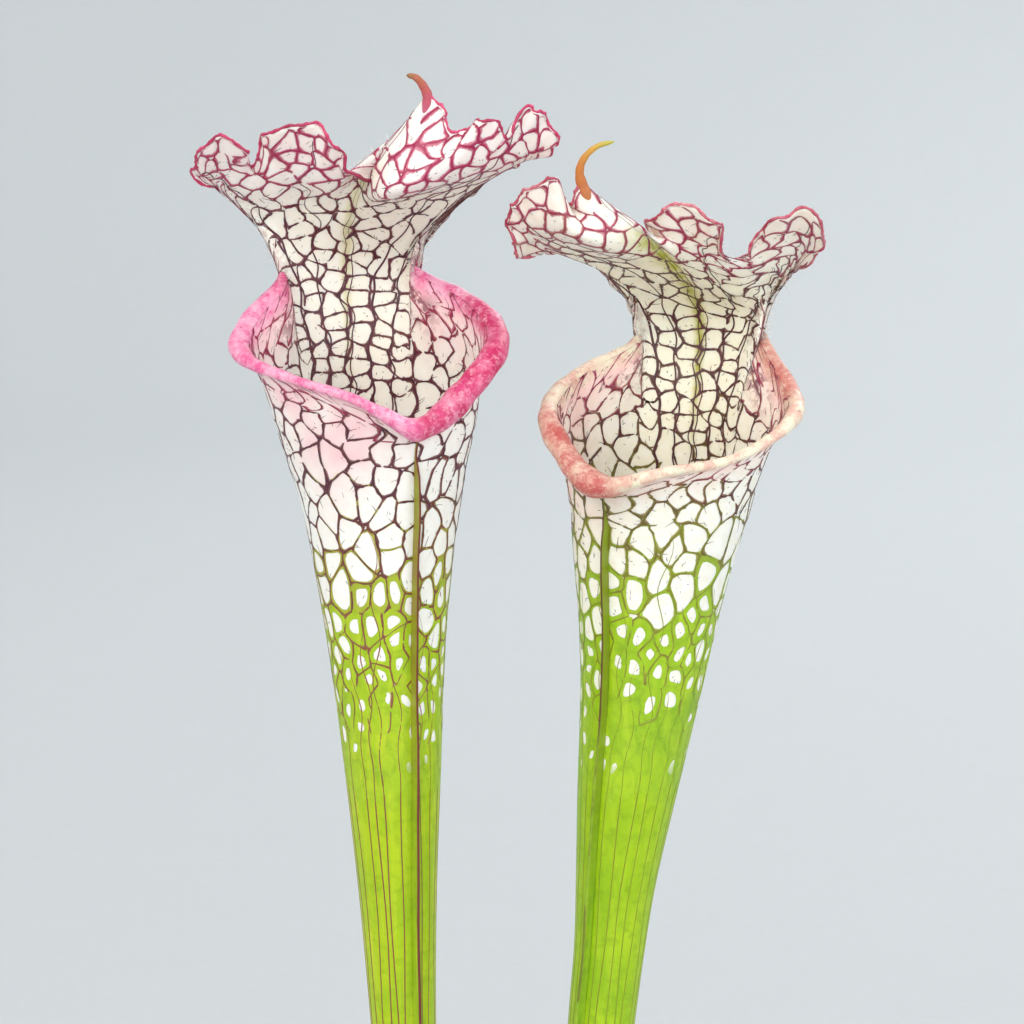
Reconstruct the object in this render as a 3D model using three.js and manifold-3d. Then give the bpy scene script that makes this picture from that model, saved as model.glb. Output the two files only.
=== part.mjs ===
// A potted pitcher plant: two tall trumpet leaves of one plant, its creeping rhizome,
// the peat it grows in and a plain round pot.
// Millimetres, +Z up, the middle of the pot's underside at the origin, the mouths face -Y.

import * as THREE from 'three';
import Module from 'manifold-3d';

// ---- driving sizes ----------------------------------------------------------------

const POT_HEIGHT = 105;
const POT_TOP_RADIUS = 58;
const POT_BASE_RADIUS = 42;
const POT_WALL = 2.0;
const POT_FLOOR = 2.4;
const RIM_BAND = 16;
const RIM_STEP = 2.4;
const DRAIN_HOLES = 8;
const DRAIN_RADIUS = 4;
const DRAIN_CIRCLE = 29;

const SOIL_LEVEL = 92;
const GAP = 0.3;

const LEAF_WALL = 1.15;
const LIP_WALL = 0.95;
const MARGIN_WALL = 0.8;
const LIP_COLUMNS = 26;
const TUBE_ROWS = 8;
const FLARE_SHARE = 0.52;
const ROLL_START = 150;
const ROLL_SWEEP = 270;
const HOOD_LEVELS = [0, 0.2, 0.4, 0.62, 0.82, 1];
const BLEND_ANGLE = 12;
const WING_THICKNESS = 0.9;

// tube: height, centre x, centre y, radius
// lip: plan angle, reach, height, roll radius
// mid and brow: place across the hood (-1 left, 0 midrib, 1 right), x, y, z
// margin: the hood's waved edge from the left end of the lip round to the right end
const LEFT = {
  tube: [
    [84, -8.4, -1.0, 3.6], [105, -12.0, -0.9, 4.1], [130, -16.2, -0.7, 4.6],
    [160, -20.0, -0.4, 5.2], [190, -22.4, -0.2, 5.9], [216, -23.7, 0, 6.7],
    [244, -24.6, 0, 7.9], [274, -25.5, 0, 9.9], [300, -26.5, 0, 11.9],
    [322, -27.2, 0, 14.6], [333, -27.5, 0, 16.5], [342, -28.2, 0, 18.6],
  ],
  mouth: [-29.4, 0],
  hood: [157, 237],
  lip: [
    [-123, 22.7, 378.5, 1.6], [-113, 24.1, 375.5, 2.2], [-98, 27.5, 371, 2.6],
    [-83, 29.7, 366.8, 2.6], [-68, 28.6, 364.4, 2.0], [-38, 25.6, 361.8, 1.4],
    [-8, 26.6, 359.2, 1.5], [10, 27.4, 355.4, 2.0], [22, 28.4, 352.6, 2.7],
    [34, 27.6, 353.8, 3.1], [52, 27, 357.5, 3.4], [72, 29, 364, 3], [87, 29.4, 367, 2.9],
    [107, 28.1, 370.6, 2.7], [127, 25.7, 374, 2.2], [142, 23.2, 376.4, 1.8],
    [157, 21.3, 379.3, 1.5],
  ],
  neck: [-35.2, 20, 380],
  facing: 15,
  neckWidth: 14.2,
  neckDepth: 3.6,
  mid: [
    [-1, -49.5, 18, 379.5], [-0.85, -53, 17, 386.5], [-0.75, -54.5, 14, 391.5],
    [-0.5, -47.5, 12, 391.5], [-0.375, -43.5, 12, 392.5], [-0.25, -38.5, 11, 392.5],
    [0, -33, 9, 393.5], [0.125, -28.5, 8, 393.5], [0.25, -21.5, 9, 393.5],
    [0.5, -13, 11, 394.5], [0.75, -15, 16, 391], [0.87, -18.5, 18, 387],
    [1, -21, 19.5, 380],
  ],
  brow: [
    [-1, -49.5, 17, 379.5], [-0.87, -53, 18, 388.5], [-0.75, -61.5, 9, 397.5],
    [-0.5, -52.5, 4, 398.5], [-0.375, -45.5, 2, 400.5], [-0.25, -36, 0, 399.5],
    [-0.12, -31.5, 1, 402], [0, -26, -1, 405.5], [0.1, -24, -9, 398.5],
    [0.25, -10, -5, 401.5], [0.5, 0.5, 1, 403], [0.75, -6.5, 13, 397.5],
    [0.87, -15.5, 19, 389.5], [1, -20.5, 19, 380.5],
  ],
  margin: [
    [-49.5, 15, 378], [-50, 20, 381.5], [-51.5, 21, 386.5], [-55, 18, 392], [-59.5, 13, 396],
    [-63.5, 7, 398.5], [-65.5, 1, 401], [-63.3, -4, 406], [-58, -7, 408.5], [-54, -5, 406],
    [-53.5, 3, 401.5], [-51, -3, 407.5], [-46, -7, 411], [-39, -9, 411], [-35, -8, 407],
    [-34, -6, 402.5], [-31, -3, 400.5], [-27.5, 2, 400.5], [-23.3, 1, 404], [-19.8, -2.5, 410],
    [-17, -6, 417], [-14.8, -7, 415], [-12.3, -9, 411], [-10, -8, 409.5], [-7.8, -9, 412],
    [-4.5, -10, 412.5], [-1.2, -8, 409], [1, -8, 411.5], [3, -7, 415], [6, -6, 413.5],
    [8.6, -3, 409], [8.5, 1, 405.5], [5, 7, 404], [-2.5, 13, 400.5], [-9.5, 18, 394.5],
    [-15.5, 21, 388], [-19.5, 22, 382], [-20.5, 20, 379],
  ],
  tip: 20,
  wing: { angle: 27, height: 2.2, from: 0.1 },
  horn: {
    path: [[-18, -5.4, 411], [-17, -6, 416], [-17.6, -6.5, 418.5], [-19.2, -7, 420.6], [-21.2, -7, 421.2]],
    radii: [2.2, 1.9, 1.5, 1.0, 0.55],
  },
};

const RIGHT = {
  tube: [
    [84, 5.2, 3, 3.6], [105, 8, 3.2, 4.1], [130, 11.4, 3.5, 4.7], [160, 15, 3.8, 5.3],
    [190, 17.8, 4, 6.1], [214, 19.6, 4, 6.9], [233, 21.4, 4, 7.4], [247, 22.6, 4, 8.3],
    [266, 24.7, 4, 10.2], [291, 27.7, 4, 12.6], [303, 28.8, 4, 14], [315, 29.7, 4, 15.8],
    [325, 30.7, 4, 17.6], [329, 31.3, 4, 18.3],
  ],
  mouth: [33.4, 4],
  hood: [124, 195],
  lip: [
    [-165, 22, 363.5, 1.5], [-152, 21.6, 361.2, 1.8], [-127, 24.4, 357.5, 2.2],
    [-102, 26.8, 354, 2.4], [-80, 28.8, 350.5, 2.6], [-62, 29.2, 346, 3], [-45, 29.4, 341, 3.2],
    [-32, 28.2, 339.6, 2.7], [-20, 27.6, 341.2, 2], [-2, 25.6, 343.2, 1.5],
    [28, 23.2, 344.2, 1.4], [58, 25.3, 347.8, 1.6], [83, 28.2, 351.8, 2.1],
    [98, 28.2, 354.5, 2.2], [108, 27.3, 357.6, 1.9], [118, 25.9, 361.8, 1.7],
    [124, 24.3, 365.5, 1.5],
  ],
  neck: [40.6, 24, 368],
  facing: -16,
  neckWidth: 13.6,
  neckDepth: 3.6,
  mid: [
    [-1, 28, 27, 365], [-0.87, 26.5, 26, 369.5], [-0.75, 23.5, 21, 374.5],
    [-0.5, 22, 17, 378], [-0.25, 27, 13, 379.5], [-0.125, 30, 11, 380], [0, 34.5, 9, 380.5],
    [0.125, 38.5, 10, 378.5], [0.25, 42, 11, 377], [0.5, 47.5, 13, 375], [0.625, 51.5, 14, 376],
    [0.75, 55, 18, 375], [0.87, 55, 22, 370.5], [1, 54.5, 25, 365.5],
  ],
  brow: [
    [-1, 27.5, 26, 364.5], [-0.87, 25, 26, 372], [-0.75, 18.5, 18, 380], [-0.5, 8, 7, 384.5],
    [-0.375, 6, 0, 388], [-0.25, 9, -4, 389], [-0.125, 16.5, -7, 388], [0, 25, -1, 390],
    [0.125, 31, 1, 386.5], [0.25, 37, 2, 385], [0.375, 42, 3, 383], [0.5, 49, 6, 381],
    [0.625, 57, 6, 384], [0.75, 60.5, 11, 382], [0.875, 56.5, 20, 374], [1, 54.5, 23, 365],
  ],
  margin: [
    [27.5, 26, 364], [26.5, 28, 367], [23.5, 27, 373], [18, 22, 379.5], [12, 16, 383],
    [7, 9, 384], [1.5, 3, 383.5], [0, -2, 388.5], [-0.5, -5, 394.5], [3.5, -8, 398],
    [7.5, -10, 401], [10, -7, 398], [10, -2, 394.5], [12, -5, 396], [14.5, -5, 399],
    [18, 0, 395.5], [23, 6, 390.5], [27, 8, 387.5], [28, 2, 390.5], [30.5, -3, 393.5],
    [35, -6, 395], [39.5, -7, 393.5], [42.5, -4, 389], [44, 2, 383.5], [48, 6, 382.5],
    [50, 1, 386.5], [52, -4, 391], [55.5, -6, 393], [59.5, -6, 394], [63, -3, 390.5],
    [65, 3, 385.5], [61.5, 11, 382], [58, 18, 377.5], [55, 23, 371.5], [54, 25, 367.5],
    [54.8, 20, 364.5],
  ],
  tip: 14,
  wing: { angle: -38, height: 2.2, from: 0.1 },
  horn: {
    path: [[16.5, -3.6, 393.5], [14.6, -5, 398], [13.7, -6, 401.5], [14.6, -7, 404.6], [17.2, -7.6, 407], [20.6, -8, 408]],
    radii: [2.3, 1.8, 1.3, 1.0, 0.8, 0.6],
  },
};

// ---- solids -------------------------------------------------------------------------

const wasm = await Module();
wasm.setup();

function makeSolid(points, triangles) {
  const positions = new Float32Array(points.flat());
  const mesh = new wasm.Mesh({ numProp: 3, vertProperties: positions, triVerts: new Uint32Array(triangles) });
  return new wasm.Manifold(mesh);
}

function toGeometry(solid) {
  const mesh = solid.getMesh();
  const geometry = new THREE.BufferGeometry();
  const positions = new Float32Array((mesh.vertProperties.length / mesh.numProp) * 3);
  for (let i = 0; i < positions.length / 3; i += 1) {
    for (let axis = 0; axis < 3; axis += 1) {
      positions[3 * i + axis] = mesh.vertProperties[mesh.numProp * i + axis];
    }
  }
  geometry.setAttribute('position', new THREE.BufferAttribute(positions, 3));
  geometry.setIndex(new THREE.BufferAttribute(new Uint32Array(mesh.triVerts), 1));
  geometry.computeVertexNormals();
  return geometry;
}

// Rings of equal length stacked into one closed body, with a flat fan over each end.
function stackRings(rings) {
  const count = rings[0].length;
  const points = rings.flat();
  const triangles = [];
  for (let row = 0; row < rings.length - 1; row += 1) {
    for (let i = 0; i < count; i += 1) {
      const a = row * count + i;
      const b = row * count + ((i + 1) % count);
      triangles.push(a, b, b + count, a, b + count, a + count);
    }
  }
  for (const row of [0, rings.length - 1]) {
    const ring = rings[row];
    const centre = [0, 1, 2].map((axis) => ring.reduce((sum, point) => sum + point[axis], 0) / count);
    const middle = points.length;
    points.push(centre);
    for (let i = 0; i < count; i += 1) {
      const a = row * count + i;
      const b = row * count + ((i + 1) % count);
      if (row === 0) {
        triangles.push(middle, b, a);
      } else {
        triangles.push(middle, a, b);
      }
    }
  }
  return makeSolid(points, triangles);
}

// Rings about Z for each [radius, height] pair of an outline.
function turned(outline, segments) {
  return outline.map(([radius, height]) => {
    const ring = [];
    for (let i = 0; i < segments; i += 1) {
      const angle = (i / segments) * Math.PI * 2;
      ring.push([radius * Math.cos(angle), radius * Math.sin(angle), height]);
    }
    return ring;
  });
}

function smoothStep(from, to, value) {
  const t = Math.min(1, Math.max(0, (value - from) / (to - from)));
  return t * t * (3 - 2 * t);
}

function blend(a, b, weight) {
  return a.map((value, axis) => value * (1 - weight) + b[axis] * weight);
}

function difference(a, b) {
  return a.map((value, axis) => value - b[axis]);
}

function hermite(from, to, slopeFrom, slopeTo, span, t) {
  return from.map((value, axis) => value * (1 + 2 * t) * (1 - t) ** 2
    + slopeFrom[axis] * span * t * (1 - t) ** 2
    + to[axis] * t * t * (3 - 2 * t)
    + slopeTo[axis] * span * t * t * (t - 1));
}

// Smooth curve through rows of [place, ...values], slopes taken from the neighbours.
function through(rows, place) {
  const last = rows.length - 1;
  const slope = (i) => {
    const before = rows[Math.max(0, i - 1)];
    const after = rows[Math.min(last, i + 1)];
    return difference(after, before).slice(1).map((value) => value / (after[0] - before[0]));
  };
  let i = 0;
  while (i < last - 1 && place >= rows[i + 1][0]) {
    i += 1;
  }
  const span = rows[i + 1][0] - rows[i][0];
  return hermite(rows[i].slice(1), rows[i + 1].slice(1), slope(i), slope(i + 1), span, (place - rows[i][0]) / span);
}

// The margin with its places: -1 at the left end, 0 at the tip, 1 at the right end.
function placedMargin(leaf) {
  const lengths = [0];
  for (let i = 1; i < leaf.margin.length; i += 1) {
    const step = new THREE.Vector3(...difference(leaf.margin[i], leaf.margin[i - 1])).length();
    lengths.push(lengths[i - 1] + step ** 0.8);
  }
  const toTip = lengths[leaf.tip];
  const rest = lengths[lengths.length - 1] - toTip;
  return leaf.margin.map((point, i) => {
    const place = i <= leaf.tip ? lengths[i] / toTip - 1 : (lengths[i] - toTip) / rest;
    return [place, ...point];
  });
}

// ---- pitcher ------------------------------------------------------------------------

// The leaf's middle surface. angle: degrees in plan, 0 towards the viewer, growing to +X.
// level: 0 at the root, 1 at the throat, 2 at the lip's and hood's edge.
function leafSurface(leaf) {
  const margin = placedMargin(leaf);
  const rows = leaf.tube;
  const [throatZ, throatX, throatY, throatRadius] = rows[rows.length - 1];
  const before = rows[rows.length - 2];
  const slope = (throatRadius - before[3]) / (throatZ - before[0]);
  const [hoodFrom, hoodTo] = leaf.hood;
  const facing = THREE.MathUtils.degToRad(leaf.facing);
  const across = [Math.cos(facing), Math.sin(facing), 0];
  const forward = [Math.sin(facing), -Math.cos(facing), 0];

  const tubePoint = (angle, z) => {
    const [x, y, radius] = through(rows, z);
    return [x + radius * Math.sin(angle), y - radius * Math.cos(angle), z];
  };

  const lipPoint = (degrees, share) => {
    const angle = THREE.MathUtils.degToRad(degrees);
    const held = Math.min(leaf.lip[leaf.lip.length - 1][0], Math.max(leaf.lip[0][0], degrees));
    const [reach, height, roll] = through(leaf.lip, held);
    const start = THREE.MathUtils.degToRad(ROLL_START);
    const centre = [reach - roll, height - 0.3 * roll];
    let radius;
    let z;
    if (share > FLARE_SHARE) {
      const turn = start - (THREE.MathUtils.degToRad(ROLL_SWEEP) * (share - FLARE_SHARE)) / (1 - FLARE_SHARE);
      radius = centre[0] + roll * Math.cos(turn);
      z = centre[1] + roll * Math.sin(turn);
    } else {
      const end = [centre[0] + roll * Math.cos(start), centre[1] + roll * Math.sin(start)];
      const rise = end[1] - throatZ;
      const t = share / FLARE_SHARE;
      const first = [throatRadius + slope * 1.25 * rise * 0.45, throatZ + rise * 0.45];
      const second = [end[0] - 0.25 * rise * Math.sin(start), end[1] + 0.25 * rise * Math.cos(start)];
      const cubic = (axis, from) => from * (1 - t) ** 3 + 3 * first[axis] * t * (1 - t) ** 2
        + 3 * second[axis] * t * t * (1 - t) + end[axis] * t ** 3;
      radius = cubic(0, throatRadius);
      z = cubic(1, throatZ);
    }
    const shift = smoothStep(0, 0.6, share);
    const x = throatX * (1 - shift) + leaf.mouth[0] * shift;
    const y = throatY * (1 - shift) + leaf.mouth[1] * shift;
    return [x + radius * Math.sin(angle), y - radius * Math.cos(angle), z];
  };

  const softMargin = (place) => {
    let sum = [0, 0, 0];
    let weights = 0;
    for (let i = -12; i <= 12; i += 1) {
      const weight = Math.exp(-0.5 * (i / 5) ** 2);
      const at = place + i * 0.017;
      const held = Math.min(1, Math.max(-1, at));
      const mirrored = through(margin, 2 * held - at);
      const end = through(margin, held);
      const point = at === held ? end : end.map((value, axis) => 2 * value - mirrored[axis]);
      sum = sum.map((value, axis) => value + weight * point[axis]);
      weights += weight;
    }
    return sum.map((value) => value / weights);
  };

  const hoodPoint = (degrees, share) => {
    const angle = THREE.MathUtils.degToRad(degrees);
    const place = Math.min(1, Math.max(-1, (hoodFrom + hoodTo - 2 * degrees) / (hoodTo - hoodFrom)));
    const soft = softMargin(place);
    const throat = [throatX + throatRadius * Math.sin(angle), throatY - throatRadius * Math.cos(angle), throatZ];
    const backRadius = throatRadius + 1.4;
    const back = [
      throatX * 0.3 + leaf.mouth[0] * 0.7 + backRadius * Math.sin(angle),
      throatY * 0.3 + leaf.mouth[1] * 0.7 - backRadius * Math.cos(angle),
      (throatZ + leaf.neck[2]) / 2,
    ];
    const wide = leaf.neckWidth * Math.sin((Math.PI / 2) * place);
    const deep = leaf.neckDepth * place * place;
    const straight = leaf.neck.map((value, axis) => value + across[axis] * wide + forward[axis] * deep);
    const short = back.map((value, axis) => value + 0.62 * (soft[axis] - value));
    const neck = blend(straight, short, smoothStep(0.7, 1, Math.abs(place)));
    const marks = [throat, back, neck, through(leaf.mid, place), through(leaf.brow, place), through(margin, place)];
    const calm = [...marks.slice(0, 5), soft];
    const below = [
      before[1] + before[3] * Math.sin(angle),
      before[2] - before[3] * Math.cos(angle),
      before[0],
    ];
    const rising = new THREE.Vector3(...difference(throat, below)).normalize();
    const reach = new THREE.Vector3(...difference(back, throat)).length() / HOOD_LEVELS[1];
    const slopeAt = (i) => {
      if (i === 0) {
        return rising.clone().multiplyScalar(reach).toArray();
      }
      const ends = i === 5 ? [marks[4], marks[5]] : [calm[i - 1], calm[i + 1]];
      const span = i === 5 ? HOOD_LEVELS[5] - HOOD_LEVELS[4] : HOOD_LEVELS[i + 1] - HOOD_LEVELS[i - 1];
      return difference(ends[1], ends[0]).map((value) => value / span);
    };
    let i = 0;
    while (i < 4 && share >= HOOD_LEVELS[i + 1]) {
      i += 1;
    }
    const span = HOOD_LEVELS[i + 1] - HOOD_LEVELS[i];
    return hermite(marks[i], marks[i + 1], slopeAt(i), slopeAt(i + 1), span, (share - HOOD_LEVELS[i]) / span);
  };

  return (degrees, level) => {
    if (level <= 1) {
      const z = rows[0][0] + (throatZ - rows[0][0]) * level;
      return tubePoint(THREE.MathUtils.degToRad(degrees), z);
    }
    const turned360 = degrees < hoodFrom - 180 ? degrees + 360 : degrees;
    const inside = (hoodTo - hoodFrom) / 2 - Math.abs(turned360 - (hoodFrom + hoodTo) / 2);
    const weight = smoothStep(-BLEND_ANGLE, BLEND_ANGLE, inside);
    if (weight === 0) {
      return lipPoint(degrees, level - 1);
    }
    const hood = hoodPoint(turned360, level - 1);
    if (weight === 1) {
      return hood;
    }
    return blend(lipPoint(degrees, level - 1), hood, weight);
  };
}

// Plan angles of the leaf's lengthwise lines: even round the lip, and one to every
// crest and notch of the hood's margin.
function leafAngles(leaf) {
  const [from, to] = leaf.hood;
  const angles = [];
  for (let i = 0; i < LIP_COLUMNS; i += 1) {
    angles.push(to - 360 + ((from - to + 360) * i) / LIP_COLUMNS);
  }
  const places = placedMargin(leaf).map((row) => row[0]).reverse();
  for (const place of places.slice(0, -1)) {
    angles.push((from + to - place * (to - from)) / 2);
  }
  return angles;
}

function wallThickness(level) {
  const tube = LEAF_WALL + (LIP_WALL - LEAF_WALL) * smoothStep(0.8, 1.1, level);
  return tube + (MARGIN_WALL - LIP_WALL) * smoothStep(1.75, 2, level);
}

// The surface moved along its own normal; step in level and angle small against the forms.
function offsetPoint(surface, degrees, level, distance) {
  const small = 0.004;
  const low = Math.max(0, level - small);
  const high = Math.min(2, level + small);
  const up = new THREE.Vector3(...difference(surface(degrees, high), surface(degrees, low)));
  const round = new THREE.Vector3(...difference(surface(degrees + 0.6, level), surface(degrees - 0.6, level)));
  const normal = round.cross(up).normalize();
  return new THREE.Vector3(...surface(degrees, level)).addScaledVector(normal, distance).toArray();
}

function pitcherShell(leaf, surface) {
  const angles = leafAngles(leaf);
  const levels = [];
  for (let i = 0; i <= TUBE_ROWS; i += 1) {
    levels.push((i / TUBE_ROWS) ** 0.85);
  }
  for (const share of [0.13, 0.26, 0.39, 0.52, 0.58, 0.64, 0.7, 0.76, 0.82, 0.88, 0.94, 1]) {
    levels.push(1 + share);
  }
  const outer = levels.map((level) => angles.map((degrees) => offsetPoint(surface, degrees, level, wallThickness(level) / 2)));
  const hollowFrom = 0.24;
  const innerLevels = levels.filter((level) => level > hollowFrom + 0.05).reverse();
  const inner = innerLevels.map((level) => angles.map((degrees) => offsetPoint(surface, degrees, level, -wallThickness(level) / 2)));
  const floorLevel = hollowFrom + 0.03;
  const floor = angles.map((degrees) => {
    const radius = through(leaf.tube, leaf.tube[0][0] + floorLevel * (leaf.tube[leaf.tube.length - 1][0] - leaf.tube[0][0]))[2];
    return offsetPoint(surface, degrees, floorLevel, -radius * 0.55);
  });
  return stackRings([...outer, ...inner, floor]);
}

// The narrow wing that runs down the front of the tube below the spout.
function pitcherWing(leaf, surface) {
  const { angle, height, from } = leaf.wing;
  const rings = [];
  const steps = 12;
  for (let i = 0; i <= steps; i += 1) {
    const level = from + ((1.12 - from) * i) / steps;
    const fade = smoothStep(from, from + 0.2, level) * (1 - 0.85 * smoothStep(0.98, 1.12, level));
    const base = new THREE.Vector3(...offsetPoint(surface, angle, level, 0));
    const crest = new THREE.Vector3(...offsetPoint(surface, angle, level, LEAF_WALL / 2 + 0.15 + height * fade));
    const out = crest.clone().sub(base).normalize();
    const side = new THREE.Vector3(0, 0, 1).cross(out).normalize().multiplyScalar(WING_THICKNESS / 2);
    rings.push([
      base.clone().sub(side).toArray(),
      crest.clone().addScaledVector(side, -0.7).toArray(),
      crest.clone().addScaledVector(side, 0.7).toArray(),
      base.clone().add(side).toArray(),
    ]);
  }
  return stackRings(rings);
}

// The curved point that ends the midrib, a tapering tube set into the hood's tip.
function pitcherHorn(horn) {
  const rows = horn.path.map((point, i) => [i, ...point, horn.radii[i]]);
  const steps = 12;
  const sides = 8;
  const rings = [];
  for (let i = 0; i <= steps; i += 1) {
    const place = ((rows.length - 1) * i) / steps;
    const [x, y, z, radius] = through(rows, place);
    const ahead = through(rows, Math.min(rows.length - 1, place + 0.05));
    const behind = through(rows, Math.max(0, place - 0.05));
    const direction = new THREE.Vector3(...difference(ahead, behind).slice(0, 3)).normalize();
    const side = new THREE.Vector3(0, 1, 0).cross(direction).normalize();
    const front = direction.clone().cross(side);
    const ring = [];
    for (let k = 0; k < sides; k += 1) {
      const angle = (k / sides) * Math.PI * 2;
      const point = new THREE.Vector3(x, y, z)
        .addScaledVector(side, radius * Math.cos(angle))
        .addScaledVector(front, radius * 0.75 * Math.sin(angle));
      ring.push(point.toArray());
    }
    rings.push(ring);
  }
  return stackRings(rings);
}

function pitcher(leaf) {
  const surface = leafSurface(leaf);
  return pitcherShell(leaf, surface)
    .add(pitcherWing(leaf, surface))
    .add(pitcherHorn(leaf.horn));
}

// The plain hole that a pitcher's foot stands in.
function footHole(leaf, top) {
  const rings = [];
  for (const z of [leaf.tube[0][0] - GAP, leaf.tube[0][0] + 4, leaf.tube[0][0] + 9, top]) {
    const [x, y, radius] = through(leaf.tube, Math.max(leaf.tube[0][0], z));
    const ring = [];
    for (let i = 0; i < 24; i += 1) {
      const angle = (i / 24) * Math.PI * 2;
      const wide = radius + LEAF_WALL / 2 + GAP + 0.05;
      ring.push([x + wide * Math.cos(angle), y + wide * Math.sin(angle), z]);
    }
    rings.push(ring);
  }
  return stackRings(rings);
}

// ---- rhizome and roots ----------------------------------------------------------------

// Centre line of the creeping stem, with its radius: x, y, z, radius.
const STEM = [
  [0, -25, 2, 82, 3.2], [1, -19, 1.5, 83, 6.0], [2, -12, 0.5, 84.5, 7.4], [3, -5, 0.5, 85, 6.9],
  [4, 2, 1.5, 85.2, 7.5], [5, 9, 2.5, 85.8, 7.2], [6, 15, 3.5, 87.5, 5.6], [7, 19.5, 4.2, 90, 2.6],
];

// Roots: start on the stem, a middle point and the end.
const ROOTS = [
  [[-18, 0.5, 82], [-26, -14, 66], [-22, -25, 40]],
  [[-12, 3, 82], [-20, 18, 58], [-15, 24, 28]],
  [[-4, -1.5, 82], [-5, -16, 55], [-9, -14, 22]],
  [[3, 4, 82], [8, 22, 60], [4, 27, 34]],
  [[9, 0.5, 82], [20, -14, 62], [23, -20, 34]],
  [[15, 4.5, 85], [28, 8, 66], [30, 12, 38]],
];

function tubeAlong(rows, sides, steps, extra, wobble) {
  const rings = [];
  const last = rows.length - 1;
  for (let i = 0; i <= steps; i += 1) {
    const place = rows[0][0] + ((rows[last][0] - rows[0][0]) * i) / steps;
    const [x, y, z, radius] = through(rows, place);
    const ahead = through(rows, Math.min(rows[last][0], place + 0.05));
    const behind = through(rows, Math.max(rows[0][0], place - 0.05));
    const direction = new THREE.Vector3(...difference(ahead, behind).slice(0, 3)).normalize();
    const side = new THREE.Vector3(0.2, 1, 0.1).cross(direction).normalize();
    const front = direction.clone().cross(side);
    const ring = [];
    for (let k = 0; k < sides; k += 1) {
      const angle = (k / sides) * Math.PI * 2;
      const wide = radius * (1 + wobble * Math.sin(2.6 * place + 3 * angle) * Math.cos(5.1 * place)) + extra;
      const point = new THREE.Vector3(x, y, z)
        .addScaledVector(side, wide * Math.cos(angle))
        .addScaledVector(front, wide * Math.sin(angle));
      ring.push(point.toArray());
    }
    rings.push(ring);
  }
  if (extra > 0) {
    for (const [ring, sign] of [[rings[0], -1], [rings[rings.length - 1], 1]]) {
      const at = sign < 0 ? rows[0][0] : rows[last][0];
      const inner = sign < 0 ? at + 0.05 : at - 0.05;
      const out = new THREE.Vector3(...difference(through(rows, at), through(rows, inner)).slice(0, 3)).normalize();
      for (const point of ring) {
        out.toArray().forEach((value, axis) => {
          point[axis] += value * extra;
        });
      }
    }
  }
  return stackRings(rings);
}

function rhizomeBody(extra) {
  let body = tubeAlong(STEM, 12, 16, extra, 0.09);
  for (const [start, middle, end] of ROOTS) {
    const rows = [[0, ...start, 1.7], [0.5, ...middle, 1.35], [1, ...end, 0.8]];
    body = body.add(tubeAlong(rows, 6, 6, extra, 0));
  }
  for (const [x, y, z, lean] of [[-18.5, 3, 84, -0.3], [-1.2, -2.6, 86, 0.1], [14.2, 5.4, 87, 0.4]]) {
    const rows = [[0, x, y, z, 2.6], [0.5, x + lean * 4, y, z + 6, 2.4], [1, x + lean * 9, y, z + 12, 1.9]];
    body = body.add(tubeAlong(rows, 8, 3, extra, 0));
  }
  return body;
}

// ---- pot and soil ---------------------------------------------------------------------

function innerRadius(height) {
  const share = (height - POT_FLOOR) / (POT_HEIGHT - POT_FLOOR);
  return POT_BASE_RADIUS - POT_WALL + (POT_TOP_RADIUS - POT_BASE_RADIUS) * share;
}

function pot() {
  const slope = (POT_TOP_RADIUS - POT_BASE_RADIUS) / POT_HEIGHT;
  const bandFrom = POT_HEIGHT - RIM_BAND;
  const outer = (height) => POT_BASE_RADIUS + slope * height;
  const band = RIM_STEP + POT_TOP_RADIUS;
  const outline = [
    [POT_BASE_RADIUS - 1.6, 0],
    [POT_BASE_RADIUS - 0.4, 0.5],
    [outer(1.8), 1.8],
    [outer(bandFrom - 1.4), bandFrom - 1.4],
    [band - 1.3, bandFrom],
    [band - 0.4, bandFrom + 1],
    [band, POT_HEIGHT - 3],
    [band + 0.9, POT_HEIGHT - 1.9],
    [band + 0.7, POT_HEIGHT - 0.5],
    [band - 0.3, POT_HEIGHT],
    [POT_TOP_RADIUS - 1.1, POT_HEIGHT],
    [POT_TOP_RADIUS - POT_WALL + 0.1, POT_HEIGHT - 1],
    [innerRadius(bandFrom - 2), bandFrom - 2],
    [innerRadius(POT_FLOOR + 2.2), POT_FLOOR + 2.2],
    [innerRadius(POT_FLOOR) - 1.8, POT_FLOOR],
  ];
  let body = stackRings(turned(outline, 48));
  for (let i = 0; i < DRAIN_HOLES; i += 1) {
    const angle = ((i + 0.5) / DRAIN_HOLES) * Math.PI * 2;
    const hole = wasm.Manifold.cylinder(POT_FLOOR + 4, DRAIN_RADIUS, DRAIN_RADIUS, 16)
      .translate([DRAIN_CIRCLE * Math.cos(angle), DRAIN_CIRCLE * Math.sin(angle), -2]);
    body = body.subtract(hole);
  }
  return body;
}

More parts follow.
